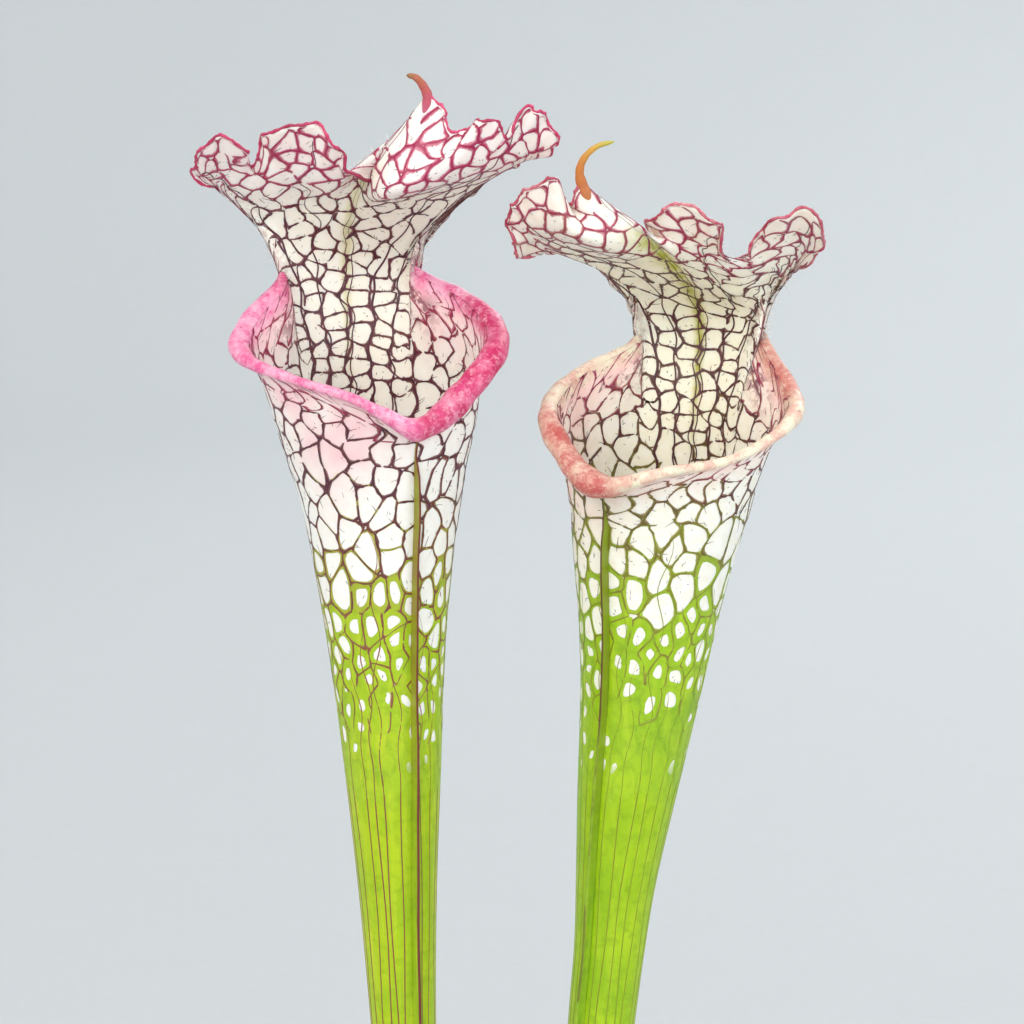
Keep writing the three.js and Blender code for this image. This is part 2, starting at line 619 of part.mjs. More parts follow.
function soil() {
  const segments = 40;
  const bumps = (x, y) => 0.9 * Math.sin(x * 0.21 + 0.6) * Math.cos(y * 0.19)
    + 0.5 * Math.sin(x * 0.47 - y * 0.39 + 1.1) + 1.6 * Math.exp(-((x + 2) ** 2 + (y - 1) ** 2) / 500);
  const side = [
    [innerRadius(POT_FLOOR) - 2.2, POT_FLOOR + GAP],
    [innerRadius(POT_FLOOR + 2.2) - GAP - 0.1, POT_FLOOR + 2.6],
    [innerRadius(SOIL_LEVEL - 4) - GAP - 0.2, SOIL_LEVEL - 4],
    [innerRadius(SOIL_LEVEL) - 1.6, SOIL_LEVEL - 1],
  ];
  const rings = turned(side, segments);
  for (const radius of [47, 38, 28, 18, 8]) {
    const ring = turned([[radius, 0]], segments)[0];
    rings.push(ring.map(([x, y]) => [x, y, SOIL_LEVEL + bumps(x, y)]));
  }
  return stackRings(rings)
    .subtract(rhizomeBody(GAP + 0.05))
    .subtract(footHole(LEFT, SOIL_LEVEL + 14))
    .subtract(footHole(RIGHT, SOIL_LEVEL + 14));
}

function rhizome() {
  return rhizomeBody(0)
    .subtract(footHole(LEFT, SOIL_LEVEL + 14))
    .subtract(footHole(RIGHT, SOIL_LEVEL + 14));
}

// ---- the model ------------------------------------------------------------------------

const model = new THREE.Group();
model.name = 'potted_pitcher_plant';

function addPiece(name, solid, colour, roughness) {
  const material = new THREE.MeshStandardMaterial({ color: colour, roughness, metalness: 0 });
  const mesh = new THREE.Mesh(toGeometry(solid), material);
  mesh.name = name;
  model.add(mesh);
}

addPiece('pot', pot(), '#a5603f', 0.62);
addPiece('soil', soil(), '#4a3627', 0.95);
addPiece('rhizome', rhizome(), '#7a4b33', 0.8);
addPiece('pitcher_left', pitcher(LEFT), '#e9d9d2', 0.5);
addPiece('pitcher_right', pitcher(RIGHT), '#e8e3d0', 0.5);

export default model;
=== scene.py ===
"""The potted pitcher plant, dressed: leaves with veined windows, rolled lips and hairs, in a round pot."""

import bpy
import numpy as np
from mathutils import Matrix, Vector


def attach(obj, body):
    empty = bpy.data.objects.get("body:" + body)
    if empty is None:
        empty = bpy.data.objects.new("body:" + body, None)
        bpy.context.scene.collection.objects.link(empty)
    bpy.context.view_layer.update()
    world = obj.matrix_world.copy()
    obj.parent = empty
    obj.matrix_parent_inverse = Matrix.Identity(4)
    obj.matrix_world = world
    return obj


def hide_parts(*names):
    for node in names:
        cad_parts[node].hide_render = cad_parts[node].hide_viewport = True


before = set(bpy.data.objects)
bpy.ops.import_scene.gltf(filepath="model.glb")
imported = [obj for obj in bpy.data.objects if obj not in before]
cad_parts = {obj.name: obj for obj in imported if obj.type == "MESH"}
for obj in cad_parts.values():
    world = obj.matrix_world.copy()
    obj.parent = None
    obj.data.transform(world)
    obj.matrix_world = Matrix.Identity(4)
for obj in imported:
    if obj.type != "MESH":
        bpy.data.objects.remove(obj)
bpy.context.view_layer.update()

# ---- measures, in millimetres unless a name says otherwise ------------------------------

MM = 0.001
LEAF_WALL = 0.75
MARGIN_WALL = 0.55
# The lip: the share of it that flares, then where its roll starts and how far it turns, in degrees.
FLARE_SHARE = 0.52
ROLL_START = 150.0
ROLL_SWEEP = 270.0
# The hood: the shares of its height where its rows are, and the degrees over which lip and hood blend.
HOOD_LEVELS = np.array([0, 0.2, 0.4, 0.62, 0.82, 1.0])
BLEND_ANGLE = 12.0
# How far the margin's waves are blurred for the rows under it, in places across the hood.
MARGIN_SOFTNESS = 0.085
SOIL_LEVEL = 92.0

# Heights between which something sets in as the tube rises.
GREEN_THICKENS = (262, 274)
LINES_WANDER = (268, 292)
VEINS_BEGIN = (284, 302)
VEINS_BROADEN = (285, 325)
LOBES_BEGIN = (288, 308)
CROSS_VEINS_BEGIN = (294, 314)
# Heights from which the closing green, the net of veins and the free vein ends are built.
GREEN_FROM = 258
NET_FROM = 268
VEINLETS_FROM = 296

# Levels go from 0 at the root to 1 at the throat and 2 at the rim; these two are just inside the hood's rim
# and just under the lip's roll.
HOOD_CAP = 1.996
LIP_CAP = 1 + FLARE_SHARE - 0.005
# The inner face's net starts here.
INNER_NET_FROM = 0.82

# tube: height, centre x, centre y, radius
# lip: plan angle, reach, height, roll radius
# mid and brow: place across the hood (-1 left, 0 midrib, 1 right), x, y, z
# margin: the hood's waved edge from the left end of the lip round to the right end
# tip: the margin's point at the midrib
# horn: its path, its radii and how much thinner it is made
# ribs: place across the hood and half width; cord: half width of the midrib's outer edge
# flanks: places where the hood's edge is pale, on the right and on the left
# vein_turn, closing, green: heights where veins change colour, the green closes in and the skin turns green
# flush, deep: plan angle and width of the pink flush and of the lip's deep colour, with its strength
# hood_flush, lip_flush, stain, keel: shares of flush, and the strength and width of the midrib's green stain
# low_lines: how broad the lower tube's lines are; line_end: level where the wing's crest turns dark red
LEFT = {
    "name": "pitcher_left",
    "tube": [
        [84, -8.4, -1.0, 3.6], [105, -12.0, -0.9, 4.1], [130, -16.2, -0.7, 4.6],
        [160, -20.0, -0.4, 5.2], [190, -22.4, -0.2, 5.9], [216, -23.7, 0, 6.7],
        [244, -24.6, 0, 7.9], [274, -25.5, 0, 9.9], [300, -26.5, 0, 11.9],
        [322, -27.2, 0, 14.6], [333, -27.5, 0, 16.5], [342, -28.2, 0, 18.6],
    ],
    "mouth": [-29.4, 0],
    "hood": [157, 237],
    "lip": [
        [-123, 22.7, 378.5, 1.6], [-113, 24.1, 375.5, 2.2], [-98, 27.5, 371, 2.6],
        [-83, 29.7, 366.8, 2.6], [-68, 28.6, 364.4, 2.0], [-38, 25.6, 361.8, 1.4],
        [-8, 26.6, 359.2, 1.5], [10, 27.4, 355.4, 2.0], [22, 28.4, 352.6, 2.7],
        [34, 27.6, 353.8, 3.1], [52, 27, 357.5, 3.4], [72, 29, 364, 3], [87, 29.4, 367, 2.9],
        [107, 28.1, 370.6, 2.7], [127, 25.7, 374, 2.2], [142, 23.2, 376.4, 1.8],
        [157, 21.3, 379.3, 1.5],
    ],
    "neck": [-35.2, 20, 380],
    "facing": 15,
    "neck_width": 14.2,
    "neck_depth": 3.6,
    "mid": [
        [-1, -49.5, 18, 379.5], [-0.85, -53, 17, 386.5], [-0.75, -54.5, 14, 391.5],
        [-0.5, -47.5, 12, 391.5], [-0.375, -43.5, 12, 392.5], [-0.25, -38.5, 11, 392.5],
        [0, -33, 9, 393.5], [0.125, -28.5, 8, 393.5], [0.25, -21.5, 9, 393.5],
        [0.5, -13, 11, 394.5], [0.75, -15, 16, 391], [0.87, -18.5, 18, 387],
        [1, -21, 19.5, 380],
    ],
    "brow": [
        [-1, -49.5, 17, 379.5], [-0.87, -53, 18, 388.5], [-0.75, -61.5, 9, 397.5],
        [-0.5, -52.5, 4, 398.5], [-0.375, -45.5, 2, 400.5], [-0.25, -36, 0, 399.5],
        [-0.12, -31.5, 1, 402], [0, -26, -1, 405.5], [0.1, -24, -9, 398.5],
        [0.25, -10, -5, 401.5], [0.5, 0.5, 1, 403], [0.75, -6.5, 13, 397.5],
        [0.87, -15.5, 19, 389.5], [1, -20.5, 19, 380.5],
    ],
    "margin": [
        [-49.5, 15, 378], [-50, 20, 381.5], [-51.5, 21, 386.5], [-55, 18, 392], [-59.5, 13, 396],
        [-63.5, 7, 398.5], [-65.5, 1, 401], [-63.3, -4, 406], [-58, -7, 408.5], [-54, -5, 406],
        [-53.5, 3, 401.5], [-51, -3, 407.5], [-46, -7, 411], [-39, -9, 411], [-35, -8, 407],
        [-34, -6, 402.5], [-31, -3, 400.5], [-27.5, 2, 400.5], [-23.3, 1, 404], [-19.8, -2.5, 410],
        [-17, -6, 417], [-14.8, -7, 415], [-12.3, -9, 411], [-10, -8, 409.5], [-7.8, -9, 412],
        [-4.5, -10, 412.5], [-1.2, -8, 409], [1, -8, 411.5], [3, -7, 415], [6, -6, 413.5],
        [8.6, -3, 409], [8.5, 1, 405.5], [5, 7, 404], [-2.5, 13, 400.5], [-9.5, 18, 394.5],
        [-15.5, 21, 388], [-19.5, 22, 382], [-20.5, 20, 379],
    ],
    "tip": 20,
    "wing": {"angle": 27, "height": 2.2, "from": 0.1},
    "horn": {
        "path": [
            [-18, -5.4, 411], [-17, -6, 416], [-17.6, -6.5, 418.5], [-19.2, -7, 420.6], [-21.2, -7, 421.2],
        ],
        "radii": [1.5, 1.5, 1.3, 1.0, 0.6],
        "slim": 0.72,
    },
    "seed": 11,
    "ribs": [(-0.67, 0.2), (-0.34, 0.3), (-0.05, 0.15), (0.04, 0.15), (0.33, 0.22), (0.67, 0.34)],
    "cord": 0.3,
    "flanks": ((0.62, 0.76), (0.82, 0.92)),
    "vein_turn": (296, 346),
    "closing": (276, 345),
    "green": (268, 288),
    "flush": (-25, 32),
    "deep": [(72, 56, 1.0), (-128, 24, 0.5)],
    "hood_flush": 0.32,
    "lip_flush": 0.8,
    "stain": 0.5,
    "keel": 0.05,
    "low_lines": 1.0,
    "line_end": -1.0,
}

RIGHT = {
    "name": "pitcher_right",
    "tube": [
        [84, 5.2, 3, 3.6], [105, 8, 3.2, 4.1], [130, 11.4, 3.5, 4.7], [160, 15, 3.8, 5.3],
        [190, 17.8, 4, 6.1], [214, 19.6, 4, 6.9], [233, 21.4, 4, 7.4], [247, 22.6, 4, 8.3],
        [266, 24.7, 4, 10.2], [291, 27.7, 4, 12.6], [303, 28.8, 4, 14], [315, 29.7, 4, 15.8],
        [325, 30.7, 4, 17.6], [329, 31.3, 4, 18.3],
    ],
    "mouth": [33.4, 4],
    "hood": [124, 195],
    "lip": [
        [-165, 22, 363.5, 1.5], [-152, 21.6, 361.2, 1.8], [-127, 24.4, 357.5, 2.2],
        [-102, 26.8, 354, 2.4], [-80, 28.8, 350.5, 2.6], [-62, 29.2, 346, 3], [-45, 29.4, 341, 3.2],
        [-32, 28.2, 339.6, 2.7], [-20, 27.6, 341.2, 2], [-2, 25.6, 343.2, 1.5],
        [28, 23.2, 344.2, 1.4], [58, 25.3, 347.8, 1.6], [83, 28.2, 351.8, 2.1],
        [98, 28.2, 354.5, 2.2], [108, 27.3, 357.6, 1.9], [118, 25.9, 361.8, 1.7],
        [124, 24.3, 365.5, 1.5],
    ],
    "neck": [40.6, 24, 368],
    "facing": -16,
    "neck_width": 13.6,
    "neck_depth": 3.6,
    "mid": [
        [-1, 28, 27, 365], [-0.87, 26.5, 26, 369.5], [-0.75, 23.5, 21, 374.5],
        [-0.5, 22, 17, 378], [-0.25, 27, 13, 379.5], [-0.125, 30, 11, 380], [0, 34.5, 9, 380.5],
        [0.125, 38.5, 10, 378.5], [0.25, 42, 11, 377], [0.5, 47.5, 13, 375], [0.625, 51.5, 14, 376],
        [0.75, 55, 18, 375], [0.87, 55, 22, 370.5], [1, 54.5, 25, 365.5],
    ],
    "brow": [
        [-1, 27.5, 26, 364.5], [-0.87, 25, 26, 372], [-0.75, 18.5, 18, 380], [-0.5, 8, 7, 384.5],
        [-0.375, 6, 0, 388], [-0.25, 9, -4, 389], [-0.125, 16.5, -7, 388], [0, 25, -1, 390],
        [0.125, 31, 1, 386.5], [0.25, 37, 2, 385], [0.375, 42, 3, 383], [0.5, 49, 6, 381],
        [0.625, 57, 6, 384], [0.75, 60.5, 11, 382], [0.875, 56.5, 20, 374], [1, 54.5, 23, 365],
    ],
    "margin": [
        [27.5, 26, 364], [26.5, 28, 367], [23.5, 27, 373], [18, 22, 379.5], [12, 16, 383],
        [7, 9, 384], [1.5, 3, 383.5], [0, -2, 388.5], [-0.5, -5, 394.5], [3.5, -8, 398],
        [7.5, -10, 401], [10, -7, 398], [10, -2, 394.5], [12, -5, 396], [14.5, -5, 399],
        [18, 0, 395.5], [23, 6, 390.5], [27, 8, 387.5], [28, 2, 390.5], [30.5, -3, 393.5],
        [35, -6, 395], [39.5, -7, 393.5], [42.5, -4, 389], [44, 2, 383.5], [48, 6, 382.5],
        [50, 1, 386.5], [52, -4, 391], [55.5, -6, 393], [59.5, -6, 394], [63, -3, 390.5],
        [65, 3, 385.5], [61.5, 11, 382], [58, 18, 377.5], [55, 23, 371.5], [54, 25, 367.5],
        [54.8, 20, 364.5],
    ],
    "tip": 14,
    "wing": {"angle": -38, "height": 2.2, "from": 0.1},
    "horn": {
        "path": [
            [16.5, -3.6, 393.5], [14.6, -5, 398], [13.7, -6, 401.5], [14.6, -7, 404.6], [17.2, -7.6, 407],
            [20.6, -8, 408],
        ],
        "radii": [2.3, 1.8, 1.3, 1.0, 0.8, 0.6],
        "slim": 0.7,
    },
    "seed": 23,
    "ribs": [(-0.67, 0.22), (-0.34, 0.26), (-0.06, 0.15), (0.04, 0.15), (0.34, 0.2), (0.66, 0.34)],
    "cord": 0.42,
    "flanks": ((0.76, 0.86), (0.7, 0.84)),
    "vein_turn": (306, 350),
    "closing": (272, 347),
    "green": (266, 286),
    "flush": (-80, 40),
    "deep": [(-56, 36, 1.0), (-112, 30, 0.25), (108, 26, 0.9)],
    "hood_flush": 0.3,
    "lip_flush": 0.5,
    "stain": 1.0,
    "keel": 0.06,
    "low_lines": 0.7,
    "line_end": 0.78,
}


# ---- numbers to shapes --------------------------------------------------------------------

def smooth(low, high, value):
    """0 below low, 1 above high, 3t^2 - 2t^3 between them."""
    t = np.clip((np.asarray(value, float) - low) / (high - low), 0, 1)
    return t * t * (3 - 2 * t)


def mix(a, b, share):
    """a (1 - share) + b share."""
    return a * (1 - share) + b * share


def unit(vectors):
    """Each vector over its length."""
    return vectors / np.maximum(np.linalg.norm(vectors, axis=-1, keepdims=True), 1e-9)


def one_channel(values):
    """The values as the first of three channels, with nothing in the other two."""
    return np.stack([values, values * 0, values * 0], -1)


def hermite(start, end, leaving, arriving, step, t):
    """The cubic with the given values and slopes at the ends of a step, for t from 0 to 1 along it."""
    return (start * (1 + 2 * t) * (1 - t) ** 2 + leaving * step * t * (1 - t) ** 2
            + end * t * t * (3 - 2 * t) + arriving * step * t * t * (t - 1))


def through(places, values, at):
    """A cubic Hermite curve through the values at their places; each slope comes from both neighbours."""
    places = np.asarray(places, float)
    values = np.asarray(values, float).reshape(len(places), -1)
    at = np.asarray(at, float)
    slopes = np.empty_like(values)
    slopes[1:-1] = (values[2:] - values[:-2]) / (places[2:] - places[:-2])[:, None]
    slopes[0] = (values[1] - values[0]) / (places[1] - places[0])
    slopes[-1] = (values[-1] - values[-2]) / (places[-1] - places[-2])
    i = np.clip(np.searchsorted(places, at, side="right") - 1, 0, len(places) - 2)
    step = places[i + 1] - places[i]
    t = ((at - places[i]) / step)[..., None]
    step = step[..., None]
    return hermite(values[i], values[i + 1], slopes[i], slopes[i + 1], step, t)


def margin_places(leaf):
    """Places of the margin's points by chord length^0.8: -1 at the first, 0 at the tip, 1 at the last."""
    points = np.asarray(leaf["margin"], float)
    chords = np.linalg.norm(np.diff(points, axis=0), axis=1) ** 0.8
    run = np.r_[0, np.cumsum(chords)]
    tip = leaf["tip"]
    return np.where(run <= run[tip], -1 + run / run[tip], (run - run[tip]) / (run[-1] - run[tip]))


def soft_margin(leaf):
    """The margin with its waves blurred by a Gaussian in place, as a table of places and points."""
    grid = np.linspace(-1, 1, 401)
    line = through(margin_places(leaf), leaf["margin"], grid)
    steps = np.arange(-60, 61) * (grid[1] - grid[0]) / MARGIN_SOFTNESS
    kernel = np.exp(-0.5 * steps ** 2)
    kernel /= kernel.sum()
    before = 2 * line[:1] - line[60:0:-1]
    after = 2 * line[-1:] - line[-2:-62:-1]
    padded = np.concatenate([before, line, after])
    blurred = np.stack([np.convolve(padded[:, axis], kernel, "valid") for axis in range(3)], -1)
    return grid, blurred


def frill(leaf, place):
    """Small crinkles of the hood's edge: sines 5 to 11 mm long in each direction, none at its two ends."""
    phase = leaf["seed"]
    waves = [np.sin(place * 61 + phase) + 0.7 * np.sin(place * 103 + 2 * phase),
             np.sin(place * 73 + 3 * phase) + 0.7 * np.sin(place * 127 + phase),
             np.sin(place * 67 + 5 * phase) + 0.8 * np.sin(place * 113 + 4 * phase)]
    return np.stack(waves, -1) * (0.42 * smooth(0, 0.12, 1 - np.abs(place)))[..., None]


def tube_point(leaf, degrees, level):
    """x = cx + R sin(angle), y = cy - R cos(angle), with cx, cy and R smooth in height."""
    rows = np.asarray(leaf["tube"], float)
    z = mix(rows[0, 0], rows[-1, 0], np.clip(level, 0, 1))
    row = through(rows[:, 0], rows[:, 1:], z)
    angle = np.radians(degrees)
    x, y = row[..., 0] + row[..., 2] * np.sin(angle), row[..., 1] - row[..., 2] * np.cos(angle)
    return np.stack([x, y, z], -1)


def hood_span(leaf):
    """The midrib's plan angle and half the hood's width, in degrees."""
    low, high = leaf["hood"]
    return (low + high) / 2, (high - low) / 2


def turn_from(degrees, centre):
    """The plan angle from a centre, between -180 and 180."""
    return (degrees - centre + 180) % 360 - 180


def from_midrib(leaf, degrees):
    """The plan angle as the one between the midrib and the midrib less a whole turn."""
    mid, _ = hood_span(leaf)
    return (degrees - mid) % 360 + mid - 360


def lip_point(leaf, degrees, share):
    """A Bezier flare in radius and height up to FLARE_SHARE, then a circle of ROLL_SWEEP degrees."""
    rows = np.asarray(leaf["tube"], float)
    throat = rows[-1]
    slope = (rows[-1, 3] - rows[-2, 3]) / (rows[-1, 0] - rows[-2, 0])
    lip = np.asarray(leaf["lip"], float)
    held = np.clip(from_midrib(leaf, degrees), lip[0, 0], lip[-1, 0])
    reach, height, roll = np.moveaxis(through(lip[:, 0], lip[:, 1:], held), -1, 0)
    flare = np.clip(share / FLARE_SHARE, 0, 1)
    turn = np.clip((share - FLARE_SHARE) / (1 - FLARE_SHARE), 0, 1)
    start = np.radians(ROLL_START)
    centre_r, centre_z = reach - roll, height - roll * 0.3
    seed = leaf["seed"]
    uneven = 1 + 0.05 * np.sin(degrees * 0.21 + seed) + 0.04 * np.sin(degrees * 0.47 + 2 * seed)
    roll = 0.68 * roll ** 1.25 * uneven - LEAF_WALL / 2
    end_r, end_z = centre_r + roll * np.cos(start), centre_z + roll * np.sin(start)
    rise = end_z - throat[0]
    first_r, first_z = throat[3] + slope * 1.25 * rise * 0.45, throat[0] + rise * 0.45
    second_r, second_z = end_r - 0.25 * rise * np.sin(start), end_z + 0.25 * rise * np.cos(start)
    w0, w1, w2, w3 = (1 - flare) ** 3, 3 * flare * (1 - flare) ** 2, 3 * flare ** 2 * (1 - flare), flare ** 3
    radius = throat[3] * w0 + first_r * w1 + second_r * w2 + end_r * w3
    z = throat[0] * w0 + first_z * w1 + second_z * w2 + end_z * w3
    angle = start - np.radians(ROLL_SWEEP) * turn
    radius = np.where(turn > 0, centre_r + roll * np.cos(angle), radius)
    z = np.where(turn > 0, centre_z + roll * np.sin(angle), z)
    shift = smooth(0, 0.6, share)
    plan = np.radians(degrees)
    x = mix(throat[1], leaf["mouth"][0], shift) + radius * np.sin(plan)
    y = mix(throat[2], leaf["mouth"][1], shift) - radius * np.cos(plan)
    return np.stack([x, y, z], -1)


def hood_place(leaf, degrees):
    """Place across the hood, from 1 at its first plan angle to -1 at its last, and the degrees inside it."""
    mid, half = hood_span(leaf)
    turned = turn_from(degrees, mid) + mid
    return np.clip((mid - turned) / half, -1, 1), half - np.abs(turned - mid)


def hood_point(leaf, degrees, share):
    """Hermite rows from the throat over the back, the neck, the middle and the brow to the waved margin."""
    rows = np.asarray(leaf["tube"], float)
    throat, below = rows[-1], rows[-2]
    place, _ = hood_place(leaf, degrees)
    plan = np.radians(degrees)
    out = np.stack([np.sin(plan), -np.cos(plan), np.zeros_like(plan)], -1)
    start = np.array([throat[1], throat[2], throat[0]]) + throat[3] * out
    under = np.array([below[1], below[2], below[0]]) + below[3] * out
    mouth_x, mouth_y = mix(throat[1], leaf["mouth"][0], 0.7), mix(throat[2], leaf["mouth"][1], 0.7)
    back = np.array([mouth_x, mouth_y, mix(throat[0], leaf["neck"][2], 0.5)]) + (throat[3] + 1.4) * out
    margin = through(margin_places(leaf), leaf["margin"], place) + frill(leaf, place)
    grid, line = soft_margin(leaf)
    softened = np.stack([np.interp(place, grid, line[:, axis]) for axis in range(3)], -1)
    facing = np.radians(leaf["facing"])
    across = np.array([np.cos(facing), np.sin(facing), 0])
    forward = np.array([np.sin(facing), -np.cos(facing), 0])
    aside = (leaf["neck_width"] * np.sin(np.pi / 2 * place))[..., None]
    ahead = (leaf["neck_depth"] * place ** 2)[..., None]
    neck = np.asarray(leaf["neck"], float) + across * aside + forward * ahead
    neck = mix(neck, back + 0.62 * (softened - back), smooth(0.7, 1, np.abs(place))[..., None])
    mid = through([row[0] for row in leaf["mid"]], [row[1:] for row in leaf["mid"]], place)
    brow = through([row[0] for row in leaf["brow"]], [row[1:] for row in leaf["brow"]], place)
    first = start - under
    stretch = np.linalg.norm(back - start, axis=-1) / np.linalg.norm(first, axis=-1)
    first *= stretch[..., None] / HOOD_LEVELS[1]
    rest = [start, back, neck, mid, brow, softened]
    slopes = [first]
    for i in range(1, 5):
        slopes.append((rest[i + 1] - rest[i - 1]) / (HOOD_LEVELS[i + 1] - HOOD_LEVELS[i - 1]))
    slopes.append((margin - brow) / (HOOD_LEVELS[5] - HOOD_LEVELS[4]))
    stops = [start, back, neck, mid, brow, margin]
    found = np.zeros_like(start)
    for i in range(5):
        step = HOOD_LEVELS[i + 1] - HOOD_LEVELS[i]
        t = ((share - HOOD_LEVELS[i]) / step)[..., None]
        here = (share >= HOOD_LEVELS[i]) & ((share < HOOD_LEVELS[i + 1]) | (i == 4))
        value = hermite(stops[i], stops[i + 1], slopes[i], slopes[i + 1], step, t)
        found = np.where(here[..., None], value, found)
    return found


def leaf_point(leaf, degrees, level):
    """The leaf's middle surface: tube to level 1, then lip and hood to level 2, blended over BLEND_ANGLE."""
    degrees, level = np.broadcast_arrays(np.asarray(degrees, float), np.asarray(level, float))
    share = np.clip(level - 1, 0, 1)
    _, inside = hood_place(leaf, degrees)
    blend = smooth(-BLEND_ANGLE, BLEND_ANGLE, inside)[..., None]
    upper = mix(lip_point(leaf, degrees, share), hood_point(leaf, degrees, share), blend)
    return np.where((level <= 1)[..., None], tube_point(leaf, degrees, level), upper)


def leaf_normal(leaf, degrees, level):
    """Unit normal to the outside: the cross product of the steps round and up."""
    degrees, level = np.broadcast_arrays(np.asarray(degrees, float), np.asarray(level, float))
    high, low = np.minimum(level + 0.004, 2), np.maximum(level - 0.004, 0)
    up = leaf_point(leaf, degrees, high) - leaf_point(leaf, degrees, low)
    round_ = leaf_point(leaf, degrees + 0.4, level) - leaf_point(leaf, degrees - 0.4, level)
    return unit(np.cross(round_, up))


def leaf_wall(level):
    """Half the wall: LEAF_WALL / 2, thinning to MARGIN_WALL / 2 at the edge."""
    return mix(LEAF_WALL, MARGIN_WALL, smooth(1.7, 2, level)) / 2


def lifted(leaf, degrees, level, lift, side=1):
    """A point lift above the leaf's outer face (side 1) or its inner face (side -1)."""
    points = leaf_point(leaf, degrees, level)
    rise = side * (leaf_wall(level) + lift)
    return points + leaf_normal(leaf, degrees, level) * rise[..., None]


# ---- meshes and materials -------------------------------------------------------------------

def linear(code):
    """An sRGB hex code as linear red, green and blue, with an alpha of 1."""
    value = np.array([int(code[i:i + 2], 16) for i in (1, 3, 5)]) / 255
    value = np.where(value <= 0.04045, value / 12.92, ((value + 0.055) / 1.055) ** 2.4)
    return (*value.tolist(), 1.0)


def make_mesh(name, points, faces, tints=None):
    """A smooth mesh object from points in millimetres and face arrays; tints are named colours per point."""
    mesh = bpy.data.meshes.new(name)
    points = np.asarray(points, float).reshape(-1, 3) * MM
    faces = [np.asarray(part, int) for part in faces if len(part)]
    sizes = np.concatenate([np.full(len(part), part.shape[1]) for part in faces])
    corners = np.concatenate([part.ravel() for part in faces])
    mesh.vertices.add(len(points))
    mesh.vertices.foreach_set("co", points.ravel())
    mesh.loops.add(len(corners))
    mesh.loops.foreach_set("vertex_index", corners)
    mesh.polygons.add(len(sizes))
    mesh.polygons.foreach_set("loop_start", np.r_[0, np.cumsum(sizes)[:-1]])
    mesh.polygons.foreach_set("use_smooth", np.full(len(sizes), True))
    mesh.update(calc_edges=True)
    mesh.validate()
    for key, colour in (tints or {}).items():
        layer = mesh.color_attributes.new(key, "FLOAT_COLOR", "POINT")
        colour = np.asarray(colour, float).reshape(len(points), -1)
        full = np.ones((len(points), 4))
        full[:, :colour.shape[1]] = colour
        layer.data.foreach_set("color", full.ravel())
    thing = bpy.data.objects.new(name, mesh)
    bpy.context.scene.collection.objects.link(thing)
    return thing


def add_piece(name, node, paint, shape):
    """A finished piece that stands for a CAD node and hides that node's CAD part; a shape is points, faces
    and tints.
    """
    piece = make_mesh(name, *shape)
    piece.data.materials.append(paint)
    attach(piece, "root")
    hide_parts(node)


def grid_faces(rows, columns, closed=True):
    """Quads of a grid of points stored row by row, joined round when closed."""
    r, c = np.meshgrid(np.arange(rows - 1), np.arange(columns if closed else columns - 1), indexing="ij")
    n = (c + 1) % columns
    quads = [r * columns + c, r * columns + n, (r + 1) * columns + n, (r + 1) * columns + c]
    return np.stack(quads, -1).reshape(-1, 4)


def pointed(rings, first_hub, last_hub):
    """Points and faces of a grid of rings; a fan to one point shuts each end."""
    rows, columns = rings.shape[:2]
    count, last = rows * columns, (rows - 1) * columns
    points = np.concatenate([rings.reshape(-1, 3), [first_hub, last_hub]])
    c = np.arange(columns)
    n = (c + 1) % columns
    first_fan = np.stack([n, c, np.full(columns, count)], -1)
    last_fan = np.stack([last + c, last + n, np.full(columns, count + 1)], -1)
    return points, [grid_faces(rows, columns), first_fan, last_fan]


def flat_ended(rings):
    """Points and faces of a grid of rings; one flat face shuts each end."""
    rows, columns = rings.shape[:2]
    c = np.arange(columns)
    return rings.reshape(-1, 3), [grid_faces(rows, columns), c[None, ::-1], ((rows - 1) * columns + c)[None]]


def sweep(centres, sides, fronts, profile):
    """Rings centre + side a + front b, for each (a, b) of each ring's profile."""
    return centres[:, None] + sides[:, None] * profile[..., :1] + fronts[:, None] * profile[..., 1:]


def frames_along(centres, hint):
    """Unit side and front vectors square to a line of points, turned least from the hint."""
    ahead = unit(np.gradient(centres, axis=0))
    side = unit(np.cross(np.broadcast_to(hint, ahead.shape), ahead))
    return side, np.cross(ahead, side)


def circle(count):
    """Points of the unit circle."""
    angle = np.arange(count) / count * 2 * np.pi
    return np.stack([np.cos(angle), np.sin(angle)], -1)


def tube_mesh(centres, radii, count, hint=(0, 1, 0), flat=1.0):
    """A closed tube: circles of the given radii round a line, flattened along the front vectors."""
    side, front = frames_along(centres, np.asarray(hint, float))
    profile = circle(count) * np.array([1.0, flat])
    rings = sweep(centres, side, front, profile[None] * np.asarray(radii)[:, None, None])
    return pointed(rings, centres[0], centres[-1])


def merge(parts):
    """Several (points, faces) as one."""
    points, faces, count = [], [], 0
    for part_points, part_faces in parts:
        points.append(part_points)
        faces += [np.asarray(f) + count for f in part_faces]
        count += len(part_points)
    return np.concatenate(points), faces


def add_node(tree, kind, values=None, **settings):
    """A node with its settings; values go to its inputs, as links where they are sockets."""
    made = tree.nodes.new(kind)
    for key, value in settings.items():
        setattr(made, key, value)
    for key, value in (values or {}).items():
        if isinstance(value, bpy.types.NodeSocket):
            tree.links.new(value, made.inputs[key])
        else:
            made.inputs[key].default_value = value
    return made


